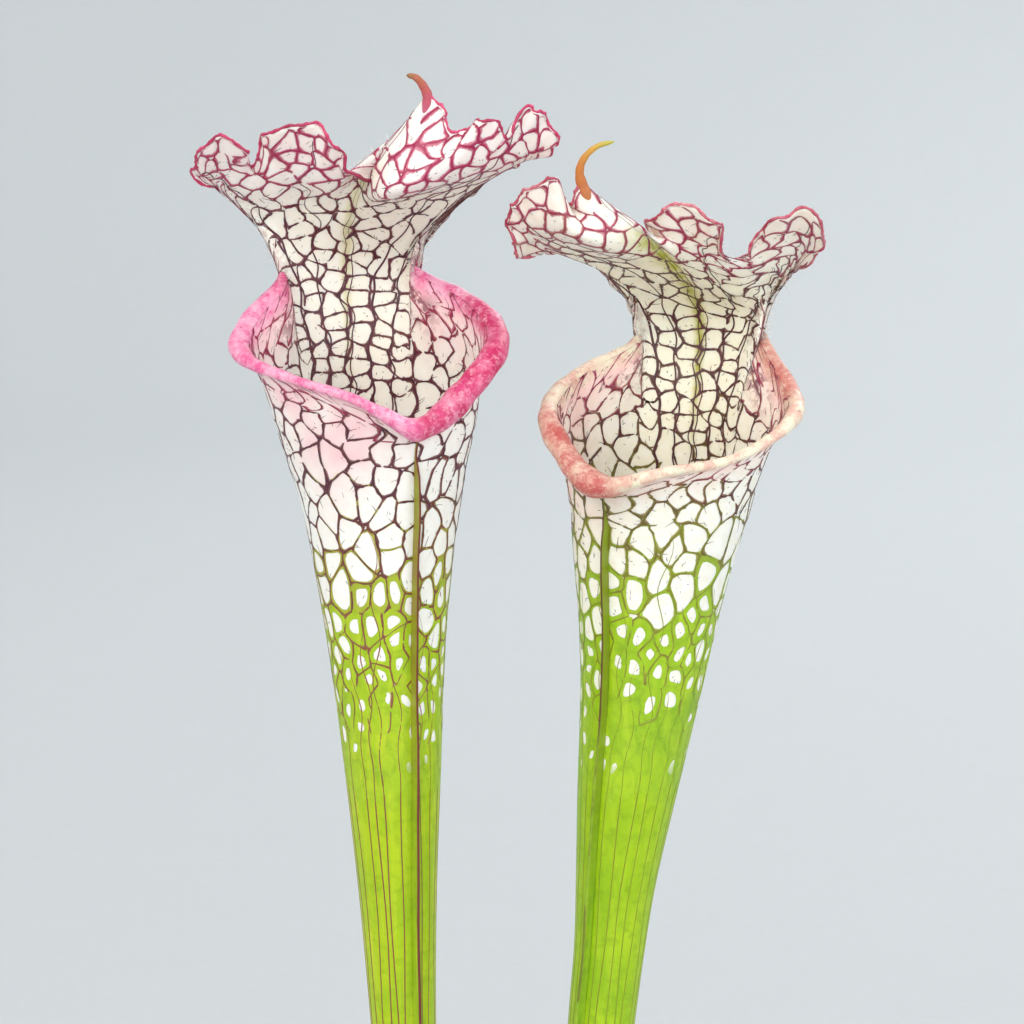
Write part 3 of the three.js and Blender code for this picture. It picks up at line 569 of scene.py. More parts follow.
def natural_matter(name, base, coats, rough, bumps, **sockets):
    """A Principled material: a base colour with coats mixed over it in turn.

    A coat covers by the product of its noise, mapped from span to share, and of its parts. A part is one
    channel of a colour attribute, or of the place in metres, mapped from low..high to 0..1. A noise is its
    grain in millimetres, detail, roughness and a squeeze along z. rough gives a noise and the two ends of
    the roughness, and each bump gives a noise, a depth in millimetres and a strength.
    """
    paint = bpy.data.materials.new(name)
    paint.use_nodes = True
    tree = paint.node_tree
    shader = tree.nodes["Principled BSDF"]
    for key, value in sockets.items():
        shader.inputs[key.replace("_", " ")].default_value = value
    place = add_node(tree, "ShaderNodeTexCoord").outputs["Object"]
    noises = {}
    asked = [coat["noise"] for coat in coats if "noise" in coat] + [rough[0]] + [row[0] for row in bumps]
    for noise in dict.fromkeys(asked):
        grain, detail, roughness, squeeze = noise
        values = {"Vector": place, "Scale": (1.0, 1.0, squeeze)}
        spot = add_node(tree, "ShaderNodeMapping", values).outputs[0]
        values = {"Vector": spot, "Scale": 1 / (grain * MM), "Detail": detail, "Roughness": roughness}
        noises[noise] = add_node(tree, "ShaderNodeTexNoise", values).outputs[0]
    layers = {"place": add_node(tree, "ShaderNodeSeparateXYZ", {0: place}).outputs}
    colour = linear(base)
    for coat in coats:
        factors = []
        if "noise" in coat:
            span, share = coat.get("span", (0.35, 0.65)), coat.get("share", (0.0, 1.0))
            values = {0: noises[coat["noise"]], 1: span[0], 2: span[1], 3: share[0], 4: share[1]}
            factors.append(add_node(tree, "ShaderNodeMapRange", values).outputs[0])
        for part, low, high in coat.get("parts", ()):
            layer, channel = part.split(".")
            if layer not in layers:
                tint = add_node(tree, "ShaderNodeAttribute", attribute_name=layer).outputs["Color"]
                layers[layer] = add_node(tree, "ShaderNodeSeparateColor", {0: tint}).outputs
            values = {0: layers[layer][channel], 1: low, 2: high}
            factors.append(add_node(tree, "ShaderNodeMapRange", values).outputs[0])
        cover = factors[0]
        for factor in factors[1:]:
            cover = add_node(tree, "ShaderNodeMath", {0: cover, 1: factor}, operation="MULTIPLY").outputs[0]
        mixed = {0: cover, 6: colour, 7: linear(coat["code"])}
        colour = add_node(tree, "ShaderNodeMix", mixed, data_type="RGBA").outputs[2]
    tree.links.new(colour, shader.inputs["Base Color"])
    gloss = {0: noises[rough[0]], 1: 0.3, 2: 0.7, 3: rough[1], 4: rough[2]}
    tree.links.new(add_node(tree, "ShaderNodeMapRange", gloss).outputs[0], shader.inputs["Roughness"])
    for noise, depth, strength in bumps:
        values = {"Height": noises[noise], "Strength": strength, "Distance": depth * MM}
        if shader.inputs["Normal"].is_linked:
            values["Normal"] = shader.inputs["Normal"].links[0].from_socket
        tree.links.new(add_node(tree, "ShaderNodeBump", values).outputs[0], shader.inputs["Normal"])
    return paint


# Noises, their grain in millimetres first: cells' grain, waxy patches, clouding, streaks along the tube.
FINE = (0.55, 2.0, 0.55, 1.0)
QUILT = (1.7, 2.0, 0.5, 1.0)
GRAIN = (2.2, 3.0, 0.55, 1.0)
CLOUD = (11.0, 2.0, 0.55, 1.0)
STREAK = (1.4, 2.0, 0.5, 0.06)
SPOTS = (3.4, 4.0, 0.7, 1.0)
PATCHES = (5.0, 4.0, 0.7, 1.0)
FRECKLES = (1.3, 3.0, 0.7, 1.0)
PITS = (2.1, 4.0, 0.75, 1.0)
SMEARS = (3.2, 4.0, 0.7, 1.0)
DASHES = (7.0, 2.0, 0.55, 1.0)
BEADS = (1.5, 4.0, 0.65, 1.0)
LEAF_BUMPS = [(QUILT, 0.16, 0.35), (FINE, 0.05, 0.5)]


# ---- the leaf's skin ------------------------------------------------------------------------

def skin_paint(name, cream, flush_code, lip_codes, green_codes):
    """Living leaf tissue: a thin waxy skin over watery cells.

    Light sinks in and comes out softened, the windows without green look chalky and slightly quilted, the
    lower tube is lime with paler streaks, and the rolled lip is mottled with a damp sheen.
    """
    lip, under_lip, deep = ("zones.Blue", 0.32, 0.78), ("zones.Blue", 0.02, 0.4), ("marks.Green", 0, 1)
    green = ("zones.Red", 0.4, 0.75)
    coats = [
        dict(code=cream[1], noise=GRAIN, span=(0.35, 0.7)),
        dict(code=cream[2], noise=CLOUD, span=(0.3, 0.6), share=(0.5, 1), parts=[("marks.Blue", 0, 1)]),
        dict(code=flush_code, noise=CLOUD, span=(0.3, 0.65), share=(0.35, 1), parts=[("zones.Green", 0, 1)]),
        dict(code="#B2B52C", noise=GRAIN, span=(0.3, 0.6), share=(0.5, 1), parts=[("marks.Red", 0, 1)]),
        # Dark smears where the lip runs up into the neck.
        dict(code="#742C46", noise=SMEARS, span=(0.46, 0.54), parts=[("blots.Red", 0, 1)]),
        # Lime green with paler streaks along the tube.
        dict(code=green_codes[0], parts=[green]),
        dict(code=green_codes[1], noise=CLOUD, span=(0.3, 0.7), parts=[green]),
        dict(code=green_codes[2], noise=STREAK, span=(0.45, 0.75), share=(0, 0.6), parts=[green]),
        dict(code=green_codes[3], noise=GRAIN, span=(0.48, 0.72), share=(0, 0.5), parts=[green]),
        dict(code=green_codes[2], noise=FRECKLES, span=(0.58, 0.7), share=(0, 0.35), parts=[green]),
        # The rolled lip: its colour sets in unevenly, deepens in places and has pale frost and pits.
        dict(code=flush_code, noise=SPOTS, span=(0.35, 0.6), share=(0.2, 1), parts=[under_lip]),
        dict(code=lip_codes[0], parts=[lip]),
        dict(code=lip_codes[1], noise=SPOTS, span=(0.44, 0.6), parts=[lip]),
        dict(code=lip_codes[2], noise=PATCHES, span=(0.36, 0.6), share=(0.4, 1), parts=[lip, deep]),
        dict(code=lip_codes[3], noise=FRECKLES, span=(0.5, 0.68), share=(0, 0.42), parts=[lip]),
        dict(code=lip_codes[4], noise=PITS, span=(0.6, 0.69), share=(0, 0.6), parts=[lip]),
    ]
    return natural_matter(name, cream[0], coats, (GRAIN, 0.38, 0.52), LEAF_BUMPS,
                          Subsurface_Weight=0.45, Subsurface_Scale=0.0015,
                          Subsurface_Radius=(1.0, 0.8, 0.62), IOR=1.4, Coat_Weight=0.05, Coat_Roughness=0.3)


def zone_tints(leaf, degrees, level):
    """Shares of green, flush and lip; of stain, deep lip colour and warm cream; of dark smears."""
    place, inside = hood_place(leaf, degrees)
    share = np.clip(level - 1, 0, 1)
    height = leaf_point(leaf, degrees, level)[..., 2]
    hood = smooth(-BLEND_ANGLE, BLEND_ANGLE, inside)
    green = 1 - smooth(leaf["green"][0], leaf["green"][1], height)
    lip = smooth(0.38, 0.55, share) * (1 - smooth(-6, 4, inside))
    centre, width = leaf["flush"]
    near = np.exp(-(turn_from(degrees, centre) / width) ** 2)
    flush = near * smooth(0.92, 1.08, level) * (1 - hood)
    flush = flush + leaf["lip_flush"] * (1 - hood) * smooth(1.15, 1.45, level)
    flush = flush + leaf["hood_flush"] * hood * smooth(0.7, 0.95, share)
    keel = np.exp(-((place + 0.01) / leaf["keel"]) ** 2) * hood
    keel = keel * smooth(0.05, 0.3, share) * (1 - smooth(0.72, 0.85, share))
    deep = sum(strength * smooth(0, 14, width - np.abs(turn_from(degrees, centre)))
               for centre, width, strength in leaf["deep"])
    warm = smooth(1.02, 1.2, level) * (1 - smooth(0.62, 0.85, share)) * smooth(-20, 20, inside)
    smear = np.exp(-((inside + 6) / 13.0) ** 2) * smooth(1.26, 1.42, level) * (1 - smooth(1.62, 1.8, level))
    zones = np.stack([green, np.clip(flush, 0, 1), lip], -1)
    marks = np.stack([np.clip(keel * leaf["stain"], 0, 1), deep, 0.45 * warm], -1)
    return zones, marks, one_channel(smear)


def leaf_columns(leaf, hood_count, lip_count):
    """Plan angles once round: even round the lip, finer across the hood."""
    low, high = leaf["hood"]
    return np.r_[np.linspace(high - 360, low, lip_count, endpoint=False),
                 np.linspace(low, high, hood_count, endpoint=False)]


def leaf_skin(leaf):
    """A closed thin wall: the outer face up to the edge, then the inner face down to a floor in the tube."""
    degrees = leaf_columns(leaf, 270, 110)
    flare, roll = np.linspace(0, FLARE_SHARE, 40, endpoint=False), np.linspace(FLARE_SHARE, 1, 34)
    levels = np.r_[np.linspace(0, 1, 34, endpoint=False), 1 + flare, 1 + roll]
    a, t = np.meshgrid(degrees, levels)
    outer = lifted(leaf, a, t, np.zeros_like(a))
    # The tube is hollow above its eighth ring.
    start = 8
    inner = lifted(leaf, a[start:], t[start:], np.zeros_like(a[start:]), -1)[::-1]
    points, faces = pointed(np.concatenate([outer, inner]), outer[0].mean(0), inner[-1].mean(0))
    ends = np.array([[1.0, 0, 0], [0, 0, 0], [0, 0, 0]])
    tints = {}
    for key, whole, end in zip(("zones", "marks", "blots"), zone_tints(leaf, a, t), ends):
        both = [whole.reshape(-1, 3), whole[start:][::-1].reshape(-1, 3), end[None], end[None]]
        tints[key] = np.concatenate(both)
    return points, faces, tints


# ---- the net of veins -----------------------------------------------------------------------

ROUND_CELLS = 20
NECK_CELLS = 6
CELL_SIDES = 26
# Each cell is bounded by this many of its nearest centres at most.
NEIGHBOURS = 16
# Guards, the centres just outside the net, are numbered from here.
GUARD_ID = 5000


def hood_cells(level):
    """Cells across the hood: few up to the neck, then fanning out towards the margin."""
    return NECK_CELLS + 9 * smooth(1.3, 1.66, level) + 27 * smooth(1.58, 2.02, level)


LIP_ROWS = 4.2
HOOD_ROWS = [[0, 1.0], [2.9, 1.15], [5.8, 1.3], [8.0, 1.45], [10.2, 1.62], [12.8, 1.82], [15.2, 2.0]]


def tube_rows(leaf):
    """Cell rows below the throat: row number and level."""
    foot, throat = leaf["tube"][0][0], leaf["tube"][-1][0]
    rows = np.array([[-10.6, 262], [-7.4, 282], [-3.0, 312], [0.0, throat]])
    rows[:-1, 0] -= (throat - 342) / 9.5
    return np.stack([rows[:, 0], (rows[:, 1] - foot) / (throat - foot)], -1)


def chart_level(leaf, column, row, hooded):
    """Level of a chart place; above the throat the hood has more and closer rows than the lip."""
    tube, hood = tube_rows(leaf), np.array(HOOD_ROWS)
    below = np.interp(row, tube[:, 0], tube[:, 1])
    high = through(hood[:, 0], hood[:, 1], np.clip(row, 0, hood[-1, 0]))[..., 0]
    lip = 1 + np.maximum(row, 0) * FLARE_SHARE / LIP_ROWS
    share = np.maximum(smooth(-1.2, 0.8, hood_cells(high) / 2 - np.abs(column)), hooded)
    return np.where(row < 0, below, mix(np.minimum(lip, 2), high, share))


def chart_degrees(leaf, column, level):
    """Plan angle of a column counted from the midrib."""
    mid, half = hood_span(leaf)
    rate = hood_cells(level) / (2 * half)
    inside = np.clip(column / rate, -half, half)
    return mid + inside + (column - inside * rate) * 360 / ROUND_CELLS


def half_turn(leaf):
    """Columns from the midrib to the front, below the hood."""
    return NECK_CELLS / 2 + (180 - hood_span(leaf)[1]) * ROUND_CELLS / 360


def on_leaf(leaf, column, row, cap=HOOD_CAP):
    """Degrees and level of chart places, after a slow seeded waver that bends the straight cell sides."""
    phase = leaf["seed"] * 1.7
    turn = np.pi / half_turn(leaf)
    waver = 0.09 * np.sin(row * 2.3 + 3 * turn * column + phase)
    waver = waver + 0.07 * np.sin(row * 4.4 - 7 * turn * column + 2 * phase)
    sway = 0.09 * np.sin(row * 1.9 + 5 * turn * column + 3 * phase)
    sway = sway + 0.06 * np.sin(row * 3.7 - 9 * turn * column + phase)
    column, row = column + waver, row + sway
    hooded = smooth(LIP_ROWS - 1.6, LIP_ROWS, row) * (np.asarray(cap) > 1.6)
    width = chart_width(row)
    column = mix(column, np.clip(column, -width, width), hooded)
    level = np.minimum(chart_level(leaf, column, row, hooded), cap)
    degrees = chart_degrees(leaf, column, level)
    mid, half = hood_span(leaf)
    room = half - 0.8 + 150 * (1 - smooth(1.1, 1.5, level)) + 200 * (cap < 1.6)
    return mid + np.clip(degrees - mid, -room, room), level


def chart_width(row):
    """Half the hood's width in cells at a row."""
    hood = np.array(HOOD_ROWS)
    return hood_cells(np.interp(row, hood[:, 0], hood[:, 1])) / 2


def beside_hood(column, row):
    """How many cells a chart place is outside the hood's side."""
    return np.abs(column) - chart_width(np.maximum(row, 0))


def chart_steps(leaf, column, row, cap):
    """Squared millimetres per squared chart unit: products of the central differences across and along."""
    small = 0.15
    across, along = (
        (leaf_point(leaf, *on_leaf(leaf, column + small * a, row + small * b, cap))
         - leaf_point(leaf, *on_leaf(leaf, column - small * a, row - small * b, cap))) / (2 * small)
        for a, b in ((1, 0), (0, 1)))
    first = np.clip((across ** 2).sum(-1), 0.8 ** 2, 12 ** 2)
    last = np.clip((along ** 2).sum(-1), 1.2 ** 2, 14 ** 2)
    most = 0.9 * np.sqrt(first * last)
    return np.stack([first, np.clip((across * along).sum(-1), -most, most), last], -1)


def cell_measure(leaf, column, row):
    """The chart's steps over the wanted cell size squared, with the part along the leaf weighted by k^2.

    Cells are 2.4 mm across low in the tube and about 4 mm above; k is less than 1 where they are slender and
    more than 1 between the rungs of the neck.
    """
    cap = np.where(beside_hood(column, row) > 0, LIP_CAP, HOOD_CAP)
    steps = chart_steps(leaf, column, row, cap)
    size = mix(2.4, 3.9, smooth(-10, -3, row)) + 0.7 * smooth(-3, 1, row) - 0.6 * smooth(9, 14, row)
    hood = smooth(-0.3, 0.6, chart_width(row) - np.abs(column)) * (row > 0)
    rung = smooth(0.5, 2, row) * (1 - smooth(6.5, 9, row)) * hood
    k = mix(0.5, 0.62, smooth(-8, -4, row)) + 0.23 * smooth(-1.5, 1.5, row) + 0.5 * rung
    first, both, last = np.moveaxis(steps, -1, 0)
    kept = np.stack([first - (1 - k ** 2) * both ** 2 / last, k ** 2 * both, k ** 2 * last], -1)
    return kept / size[..., None] ** 2, steps, cap


def spread(measure, across, along):
    """The squared distance g11 c^2 + 2 g12 c r + g22 r^2 in a measure."""
    first, both, last = measure[..., 0], measure[..., 1], measure[..., 2]
    return first * across ** 2 + 2 * both * across * along + last * along ** 2


def scatter_seeds(leaf, random):
    """Cell centres a set distance apart, in ladder columns in the neck and mouth, joined round the tube."""
    full = half_turn(leaf)
    lowest, highest = tube_rows(leaf)[0, 0], HOOD_ROWS[-1][0] - 0.15
    kept = np.zeros((0, 2))
    tries = random.random((40000, 3))
    rows = mix(lowest, highest, tries[:, 0])
    reach = np.where(rows > LIP_ROWS, chart_width(rows) - 0.2, full)
    columns = (tries[:, 1] * 2 - 1) * reach
    ladder = smooth(-4, -1.5, rows) * (1 - smooth(6.0, 8.5, rows)) * (1 - smooth(3.2, 4.2, np.abs(columns)))
    ladder = np.maximum(ladder, 0.45 * (rows < 1))
    middle = np.floor(columns) + 0.5
    columns = middle + (columns - middle) * (1 - 0.62 * ladder)
    apart = (0.72 + 0.42 * tries[:, 2]) ** 2
    measures = cell_measure(leaf, columns, rows)[0]
    for column, row, gap, measure in zip(columns, rows, apart, measures):
        over = kept[:, 0] - column
        if row < LIP_ROWS:
            over = (over + full) % (2 * full) - full
        if not len(kept) or np.min(spread(measure, over, kept[:, 1] - row)) > gap:
            kept = np.vstack([kept, [column, row]])
    return kept


def guard_seeds(leaf):
    """Centres just outside the net, which bound its outermost cells."""
    full, lowest, highest = half_turn(leaf), tube_rows(leaf)[0, 0], HOOD_ROWS[-1][0]
    foot = np.arange(-full, full, 0.9)
    lip = np.arange(chart_width(LIP_ROWS) + 0.9, full + 1, 0.9)
    side = np.arange(LIP_ROWS + 0.3, highest, 0.7)
    top = np.arange(-chart_width(highest), chart_width(highest), 0.8)
    brim, aside = lip * 0 + LIP_ROWS + 0.45, chart_width(side) + 0.5
    lines = [(foot, foot * 0 + lowest - 0.7), (lip, brim), (-lip, brim), (aside, side), (-aside, side),
             (top, top * 0 + highest + 0.4)]
    return np.concatenate([np.stack(line, -1) for line in lines])


def cell_shapes(leaf, random):
    """For each cell: its centre, its sides' normals and half distances, its frame, level and height.

    The side between two centres is the line of equal measure, with the measure halfway between theirs: the
    normal is the measure times the gap. A side's chance, from 0 to 1, is the same from both of its cells.
    """
    seeds = scatter_seeds(leaf, random)
    full = half_turn(leaf)
    lower = seeds[:, 1] < LIP_ROWS
    ids = np.arange(len(seeds))
    guards = guard_seeds(leaf)
    spots = np.concatenate([seeds, seeds[lower] + [2 * full, 0], seeds[lower] - [2 * full, 0], guards])
    ids = np.concatenate([ids, ids[lower], ids[lower], GUARD_ID + np.arange(len(guards))])
    own_measure, steps, cap = cell_measure(leaf, seeds[:, 0], seeds[:, 1])
    theirs = own_measure[np.minimum(ids, len(seeds) - 1)]
    guard = (ids >= GUARD_ID)[None, :, None]
    measure = np.where(guard, own_measure[:, None], (own_measure[:, None] + theirs[None]) / 2)
    gap = spots[None] - seeds[:, None]
    distance = spread(measure, gap[..., 0], gap[..., 1])
    push = np.stack([measure[..., 0] * gap[..., 0] + measure[..., 1] * gap[..., 1],
                     measure[..., 1] * gap[..., 0] + measure[..., 2] * gap[..., 1]], -1)
    nearest = np.argsort(distance, axis=1)[:, 1:NEIGHBOURS + 1]
    gap = np.take_along_axis(gap, nearest[..., None], 1)
    push = np.take_along_axis(push, nearest[..., None], 1)
    normal = unit(push)
    distance = (gap * normal).sum(-1)
    other = ids[nearest]
    own = np.arange(len(seeds))[:, None]
    # The sine of large unrelated multiples scrambles the pair's two numbers.
    pair = np.sin((own + other) * 12.9898 + np.abs(own - other) * 78.233 + (own * other % 977) * 3.71)
    chance = np.abs(pair * 43758.5453) % 1
    degrees, level = on_leaf(leaf, seeds[:, 0], seeds[:, 1], cap)
    first, both, last = np.moveaxis(steps, -1, 0)
    basis = np.stack([np.sqrt(first), both / np.sqrt(first), np.sqrt(last - both ** 2 / first)], -1)
    scale, height = np.minimum(basis[:, 0], basis[:, 2]), leaf_point(leaf, degrees, level)[..., 2]
    return {"seeds": seeds, "normal": normal, "half": distance / 2, "chance": chance, "basis": basis,
            "cap": cap, "scale": scale, "level": level, "height": height}


RAY_ANGLES = (np.arange(CELL_SIDES) + 0.5) / CELL_SIDES * 2 * np.pi


def in_millimetres(cells, normal):
    """A side's normal in the millimetre frame of its cell: L e = n, with L the root of the chart steps."""
    first, lean, last = np.moveaxis(cells["basis"], -1, 0)[..., None]
    across = normal[..., 0] / first
    return np.stack([across, (normal[..., 1] - lean * across) / last], -1)


def ray_lengths(cells, inset, power=None):
    """Distance in millimetres from each centre to its cell's side, along CELL_SIDES rays.

    A side with normal n at distance d is met at r = d / (n . e); the least r gives the sharp cell,
    and (sum (n . e / d)^power)^(-1/power) a rounded one.
    """
    first, lean, last = np.moveaxis(cells["basis"], -1, 0)[..., None]
    angle = RAY_ANGLES
    along = np.sin(angle)[None] / last
    rays = np.stack([(np.cos(angle)[None] - lean * along) / first, along], -1)
    steep = np.einsum("cnk,crk->crn", cells["normal"], rays)
    slope = np.linalg.norm(in_millimetres(cells, cells["normal"]), axis=-1)
    room = np.maximum(cells["half"] - inset * slope, 0.02)[:, None]
    rate = np.maximum(steep, 0) / room
    if power is None:
        return 1 / np.maximum(rate.max(-1), 1e-6), rays
    top = np.maximum(rate.max(-1, keepdims=True), 1e-6)
    return 1 / (top[..., 0] * ((rate / top) ** power).sum(-1) ** (1 / power)), rays


def cell_sides(cells):
    """How much each side runs along the leaf: 1 for a lengthwise vein, 0 for a cross vein."""
    normal = unit(in_millimetres(cells, cells["normal"]))
    return normal[..., 0] ** 2


def rings_on_leaf(leaf, cells, keep, loops, side):
    """Loops of points round the kept cells: each loop is (ray lengths, rays, height above the face)."""
    layers = []
    centre = cells["seeds"][keep][:, None]
    for lengths, rays, lift in loops:
        spot = centre + rays[keep] * lengths[keep][..., None]
        degrees, level = on_leaf(leaf, spot[..., 0], spot[..., 1], cells["cap"][keep][:, None])
        layers.append(lifted(leaf, degrees, level, np.broadcast_to(lift, lengths.shape)[keep], side))
    size = len(loops) * CELL_SIDES
    quads = grid_faces(len(loops), CELL_SIDES) + size * np.arange(len(centre))[:, None, None]
    quads = quads.reshape(-1, 4)
    return np.stack(layers, 1).reshape(-1, 3), [quads if side > 0 else quads[:, ::-1]]


def flank(leaf, cells):
    """1 on the hood's lower sides, where the margin runs down to the lip and stays pale and thin."""
    place = cells["seeds"][:, 0] / chart_width(np.maximum(cells["seeds"][:, 1], 0))
    low, high = leaf["flanks"]
    return smooth(low[0], low[1], -place) + smooth(high[0], high[1], place)


# Half widths in millimetres: the thinnest vein that shows, and one below 0 where two windows join.
THINNEST_VEIN = 0.085
NO_VEIN = -0.6
# How far a piece on the leaf's face sinks into the skin at its ends.
SUNK = -0.12


def vein_widths(leaf, cells):
    """Half widths of the veins in millimetres: broad lengthwise ones, thin cross ones, some left out."""
    along = cell_sides(cells)
    height = cells["height"][:, None]
    level = cells["level"][:, None]
    column, row = cells["seeds"][:, :1], cells["seeds"][:, 1:]
    throat = smooth(0.95, 1.05, level)
    base = mix(0.105, 0.142, smooth(*VEINS_BROADEN, height)) + 0.053 * throat
    base = base - 0.055 * smooth(1.35, 1.55, level)
    base = base + 0.17 * smooth(1.74, 1.92, level) * (1 - flank(leaf, cells)[:, None])
    base = base * (1 - 0.3 * (beside_hood(column, row) > 0) * smooth(1.15, 1.35, level))
    neck = throat * (1 - smooth(1.7, 1.8, level))
    wide = base * (0.6 + 0.7 * cells["chance"]) * (mix(0.75, 0.6, neck) + 0.55 * along)
    # Where the net ends below wanders by a few millimetres from column to column and from side to side.
    wandering = height + 7 * np.sin(column * 2.3 + leaf["seed"]) + 4 * (cells["chance"] - 0.5)
    wide = np.minimum(np.maximum(wide, THINNEST_VEIN), 0.06 * cells["scale"][:, None])
    wide = wide * smooth(*VEINS_BEGIN, wandering)
    skip = (cells["chance"] * 7.3) % 1 < mix(0.08, 1.0, 1 - smooth(*CROSS_VEINS_BEGIN, wandering))
    return np.where(skip & (along < 0.5), NO_VEIN, np.where(wide < 0.04, NO_VEIN, wide))


def vein_net(leaf, cells, side, lowest):
    """Raised veins between the cells, sunk into the skin where they end and at the windows' edges."""
    wide = vein_widths(leaf, cells)
    border, rays = ray_lengths(cells, np.zeros_like(wide))
    turn = RAY_ANGLES
    phase = cells["chance"][:, :3, None] * 2 * np.pi
    lobes = 0.045 * np.sin(3 * turn + phase[:, 0]) + 0.04 * np.sin(5 * turn + phase[:, 1])
    lobes = (lobes + 0.03 * np.sin(8 * turn + phase[:, 2])) * smooth(*LOBES_BEGIN, cells["height"])[:, None]
    window = np.minimum(ray_lengths(cells, wide, 9)[0] * (1 + lobes), border)
    soft_edge = np.minimum(0.17 + 0.16 * smooth(1.72, 1.9, cells["level"]), 0.07 * cells["scale"])[:, None]
    faded = ray_lengths(cells, wide + np.where(wide > 0, soft_edge, 0), 8)[0]
    fade = np.minimum(faded * (1 + lobes), window)
    there = smooth(0.0, 0.08, border - window)
    rim = border * (1 + 0.045 * there) + 0.1 * there
    keep = (cells["level"] > lowest) & (cells["level"] < 1.99) & (cells["height"] > NET_FROM)
    lifts = zip((rim, mix(window, rim, 0.45), window, fade), (0.11, 0.1, 0.035, -0.03))
    loops = [(lengths, rays, mix(SUNK, lift, there)) for lengths, lift in lifts]
    points, faces = rings_on_leaf(leaf, cells, keep, loops, side)
    down = 1 - smooth(*leaf["vein_turn"], cells["height"][keep])
    chance = cells["chance"][keep][:, 0]
    level = cells["level"][keep]
    beside = smooth(-0.3, 0.6, beside_hood(*cells["seeds"][keep].T))
    red = smooth(1.62, 1.86, level) * (1 - flank(leaf, cells)[keep])
    red = np.maximum(red, 0.8 * beside * smooth(1.2, 1.45, level))
    down = np.clip((down + 0.4 * chance - 0.3) / 0.8, 0, 1)
    tint = np.repeat(np.stack([down, chance, red], -1), 4 * CELL_SIDES, axis=0)
    soft = np.tile(np.repeat([0, 0, 0.45, 1.0], CELL_SIDES), keep.sum())
    return points, faces, {"zones": tint, "soft": one_channel(soft)}


def halo_net(leaf, cells, side):
    """Green leaf that closes in round the veins: the windows shrink to ovals down the tube, then go."""
    border, rays = ray_lengths(cells, np.zeros_like(cells["half"]))
    oval, _ = ray_lengths(cells, np.full_like(cells["half"], 0.12), 3.2)
    shut, open_ = leaf["closing"]
    height = cells["height"]
    scatter = 34 * (cells["chance"][:, 1] - 0.5) * mix(1, 0.3, smooth(shut + 12, open_ - 10, height))
    share = smooth(shut, open_, height + scatter)[:, None]
    share = np.where(share < 0.06, 0.0, share)
    wide, _ = ray_lengths(cells, 0.1 + 0.62 * (1 - share) * (0.4 + 1.2 * cells["chance"]), 8)
    inner = mix(oval * (0.22 + 0.8 * share), wide, smooth(0.4, 0.85, share))
    inner = np.minimum(inner * (share > 0), border) + 0.01
    keep = (share[:, 0] < 0.96) & (cells["level"] < 1.0) & (height > GREEN_FROM)
    there = smooth(0, 0.1, border - inner)
    over = 0.18 * smooth(*GREEN_THICKENS, height)[:, None] - 0.12
    top = mix(SUNK, over, there)
    well = np.where(share > 0, np.minimum(top, -0.04), top)
    outline = border * (1 + 0.05 * there) + mix(0.2, 0.12, smooth(0, 0.1, share)) * there
    loops = [(outline, rays, top), (mix(inner, border, 0.35), rays, top), (inner, rays, well)]
    points, faces = rings_on_leaf(leaf, cells, keep, loops, side)
    down = 1 - smooth(shut + 14, open_ - 16, height[keep])
    return points, faces, {"zones": one_channel(np.repeat(down, 3 * CELL_SIDES))}


def strips(leaf, lines, side, **tints):
    """Raised veins along lines on the leaf, with tints that are the same all over.

    A line is degrees, level, half width in millimetres and height above the face.
    """
    parts = []
    for count in sorted({len(line[0]) for line in lines}):
        group = np.array([line for line in lines if len(line[0]) == count], float)
        degrees, level, wide, lift = group.transpose(1, 0, 2)
        normal = leaf_normal(leaf, degrees, level) * side
        middle = leaf_point(leaf, degrees, level) + normal * (leaf_wall(level) + lift)[..., None]
        ahead = np.gradient(middle, axis=1)
        across = unit(np.cross(normal, ahead)) * wide[..., None]
        crest = across * 0.55
        sink = normal * (lift + 0.06)[..., None]
        rows = np.stack([middle - across - sink, middle - crest, middle + crest, middle + across - sink], 2)
        quads = grid_faces(count, 4, closed=False)[:, ::-1]
        quads = (quads[None] + np.arange(len(group))[:, None, None] * count * 4).reshape(-1, 4)
        parts.append((rows.reshape(-1, 3), [quads]))
    points, faces = merge(parts)
    return points, faces, {key: np.tile(value, (len(points), 1)) for key, value in tints.items()}


LONG_VEINS = 26


def long_veins(leaf, random):
    """Thin lengthwise veins of the lower tube that run up among the windows."""
    lines = []
    foot, throat = leaf["tube"][0][0], leaf["tube"][-1][0]
    full = half_turn(leaf)
    for k in range(LONG_VEINS):
        column = (k + 0.5 + random.uniform(-0.25, 0.25)) / LONG_VEINS * 2 * full - full
        top = random.uniform(292, 330)
        height = np.linspace(foot + 2, top, 130)
        level = (height - foot) / (throat - foot)
        wave = 0.12 * np.sin(height * 0.05 + random.uniform(0, 6))
        wave += 0.06 * np.sin(height * 0.13 + random.uniform(0, 6))
        wave += 0.22 * np.sin(height * 0.34 + random.uniform(0, 6)) * smooth(*LINES_WANDER, height)
        degrees = chart_degrees(leaf, column + wave, level)
        wide = leaf["low_lines"] * random.uniform(0.1, 0.18) * smooth(0, 12, top - height) + 0.02
        lines.append((degrees, level, wide, np.full_like(wide, 0.06)))
    return lines


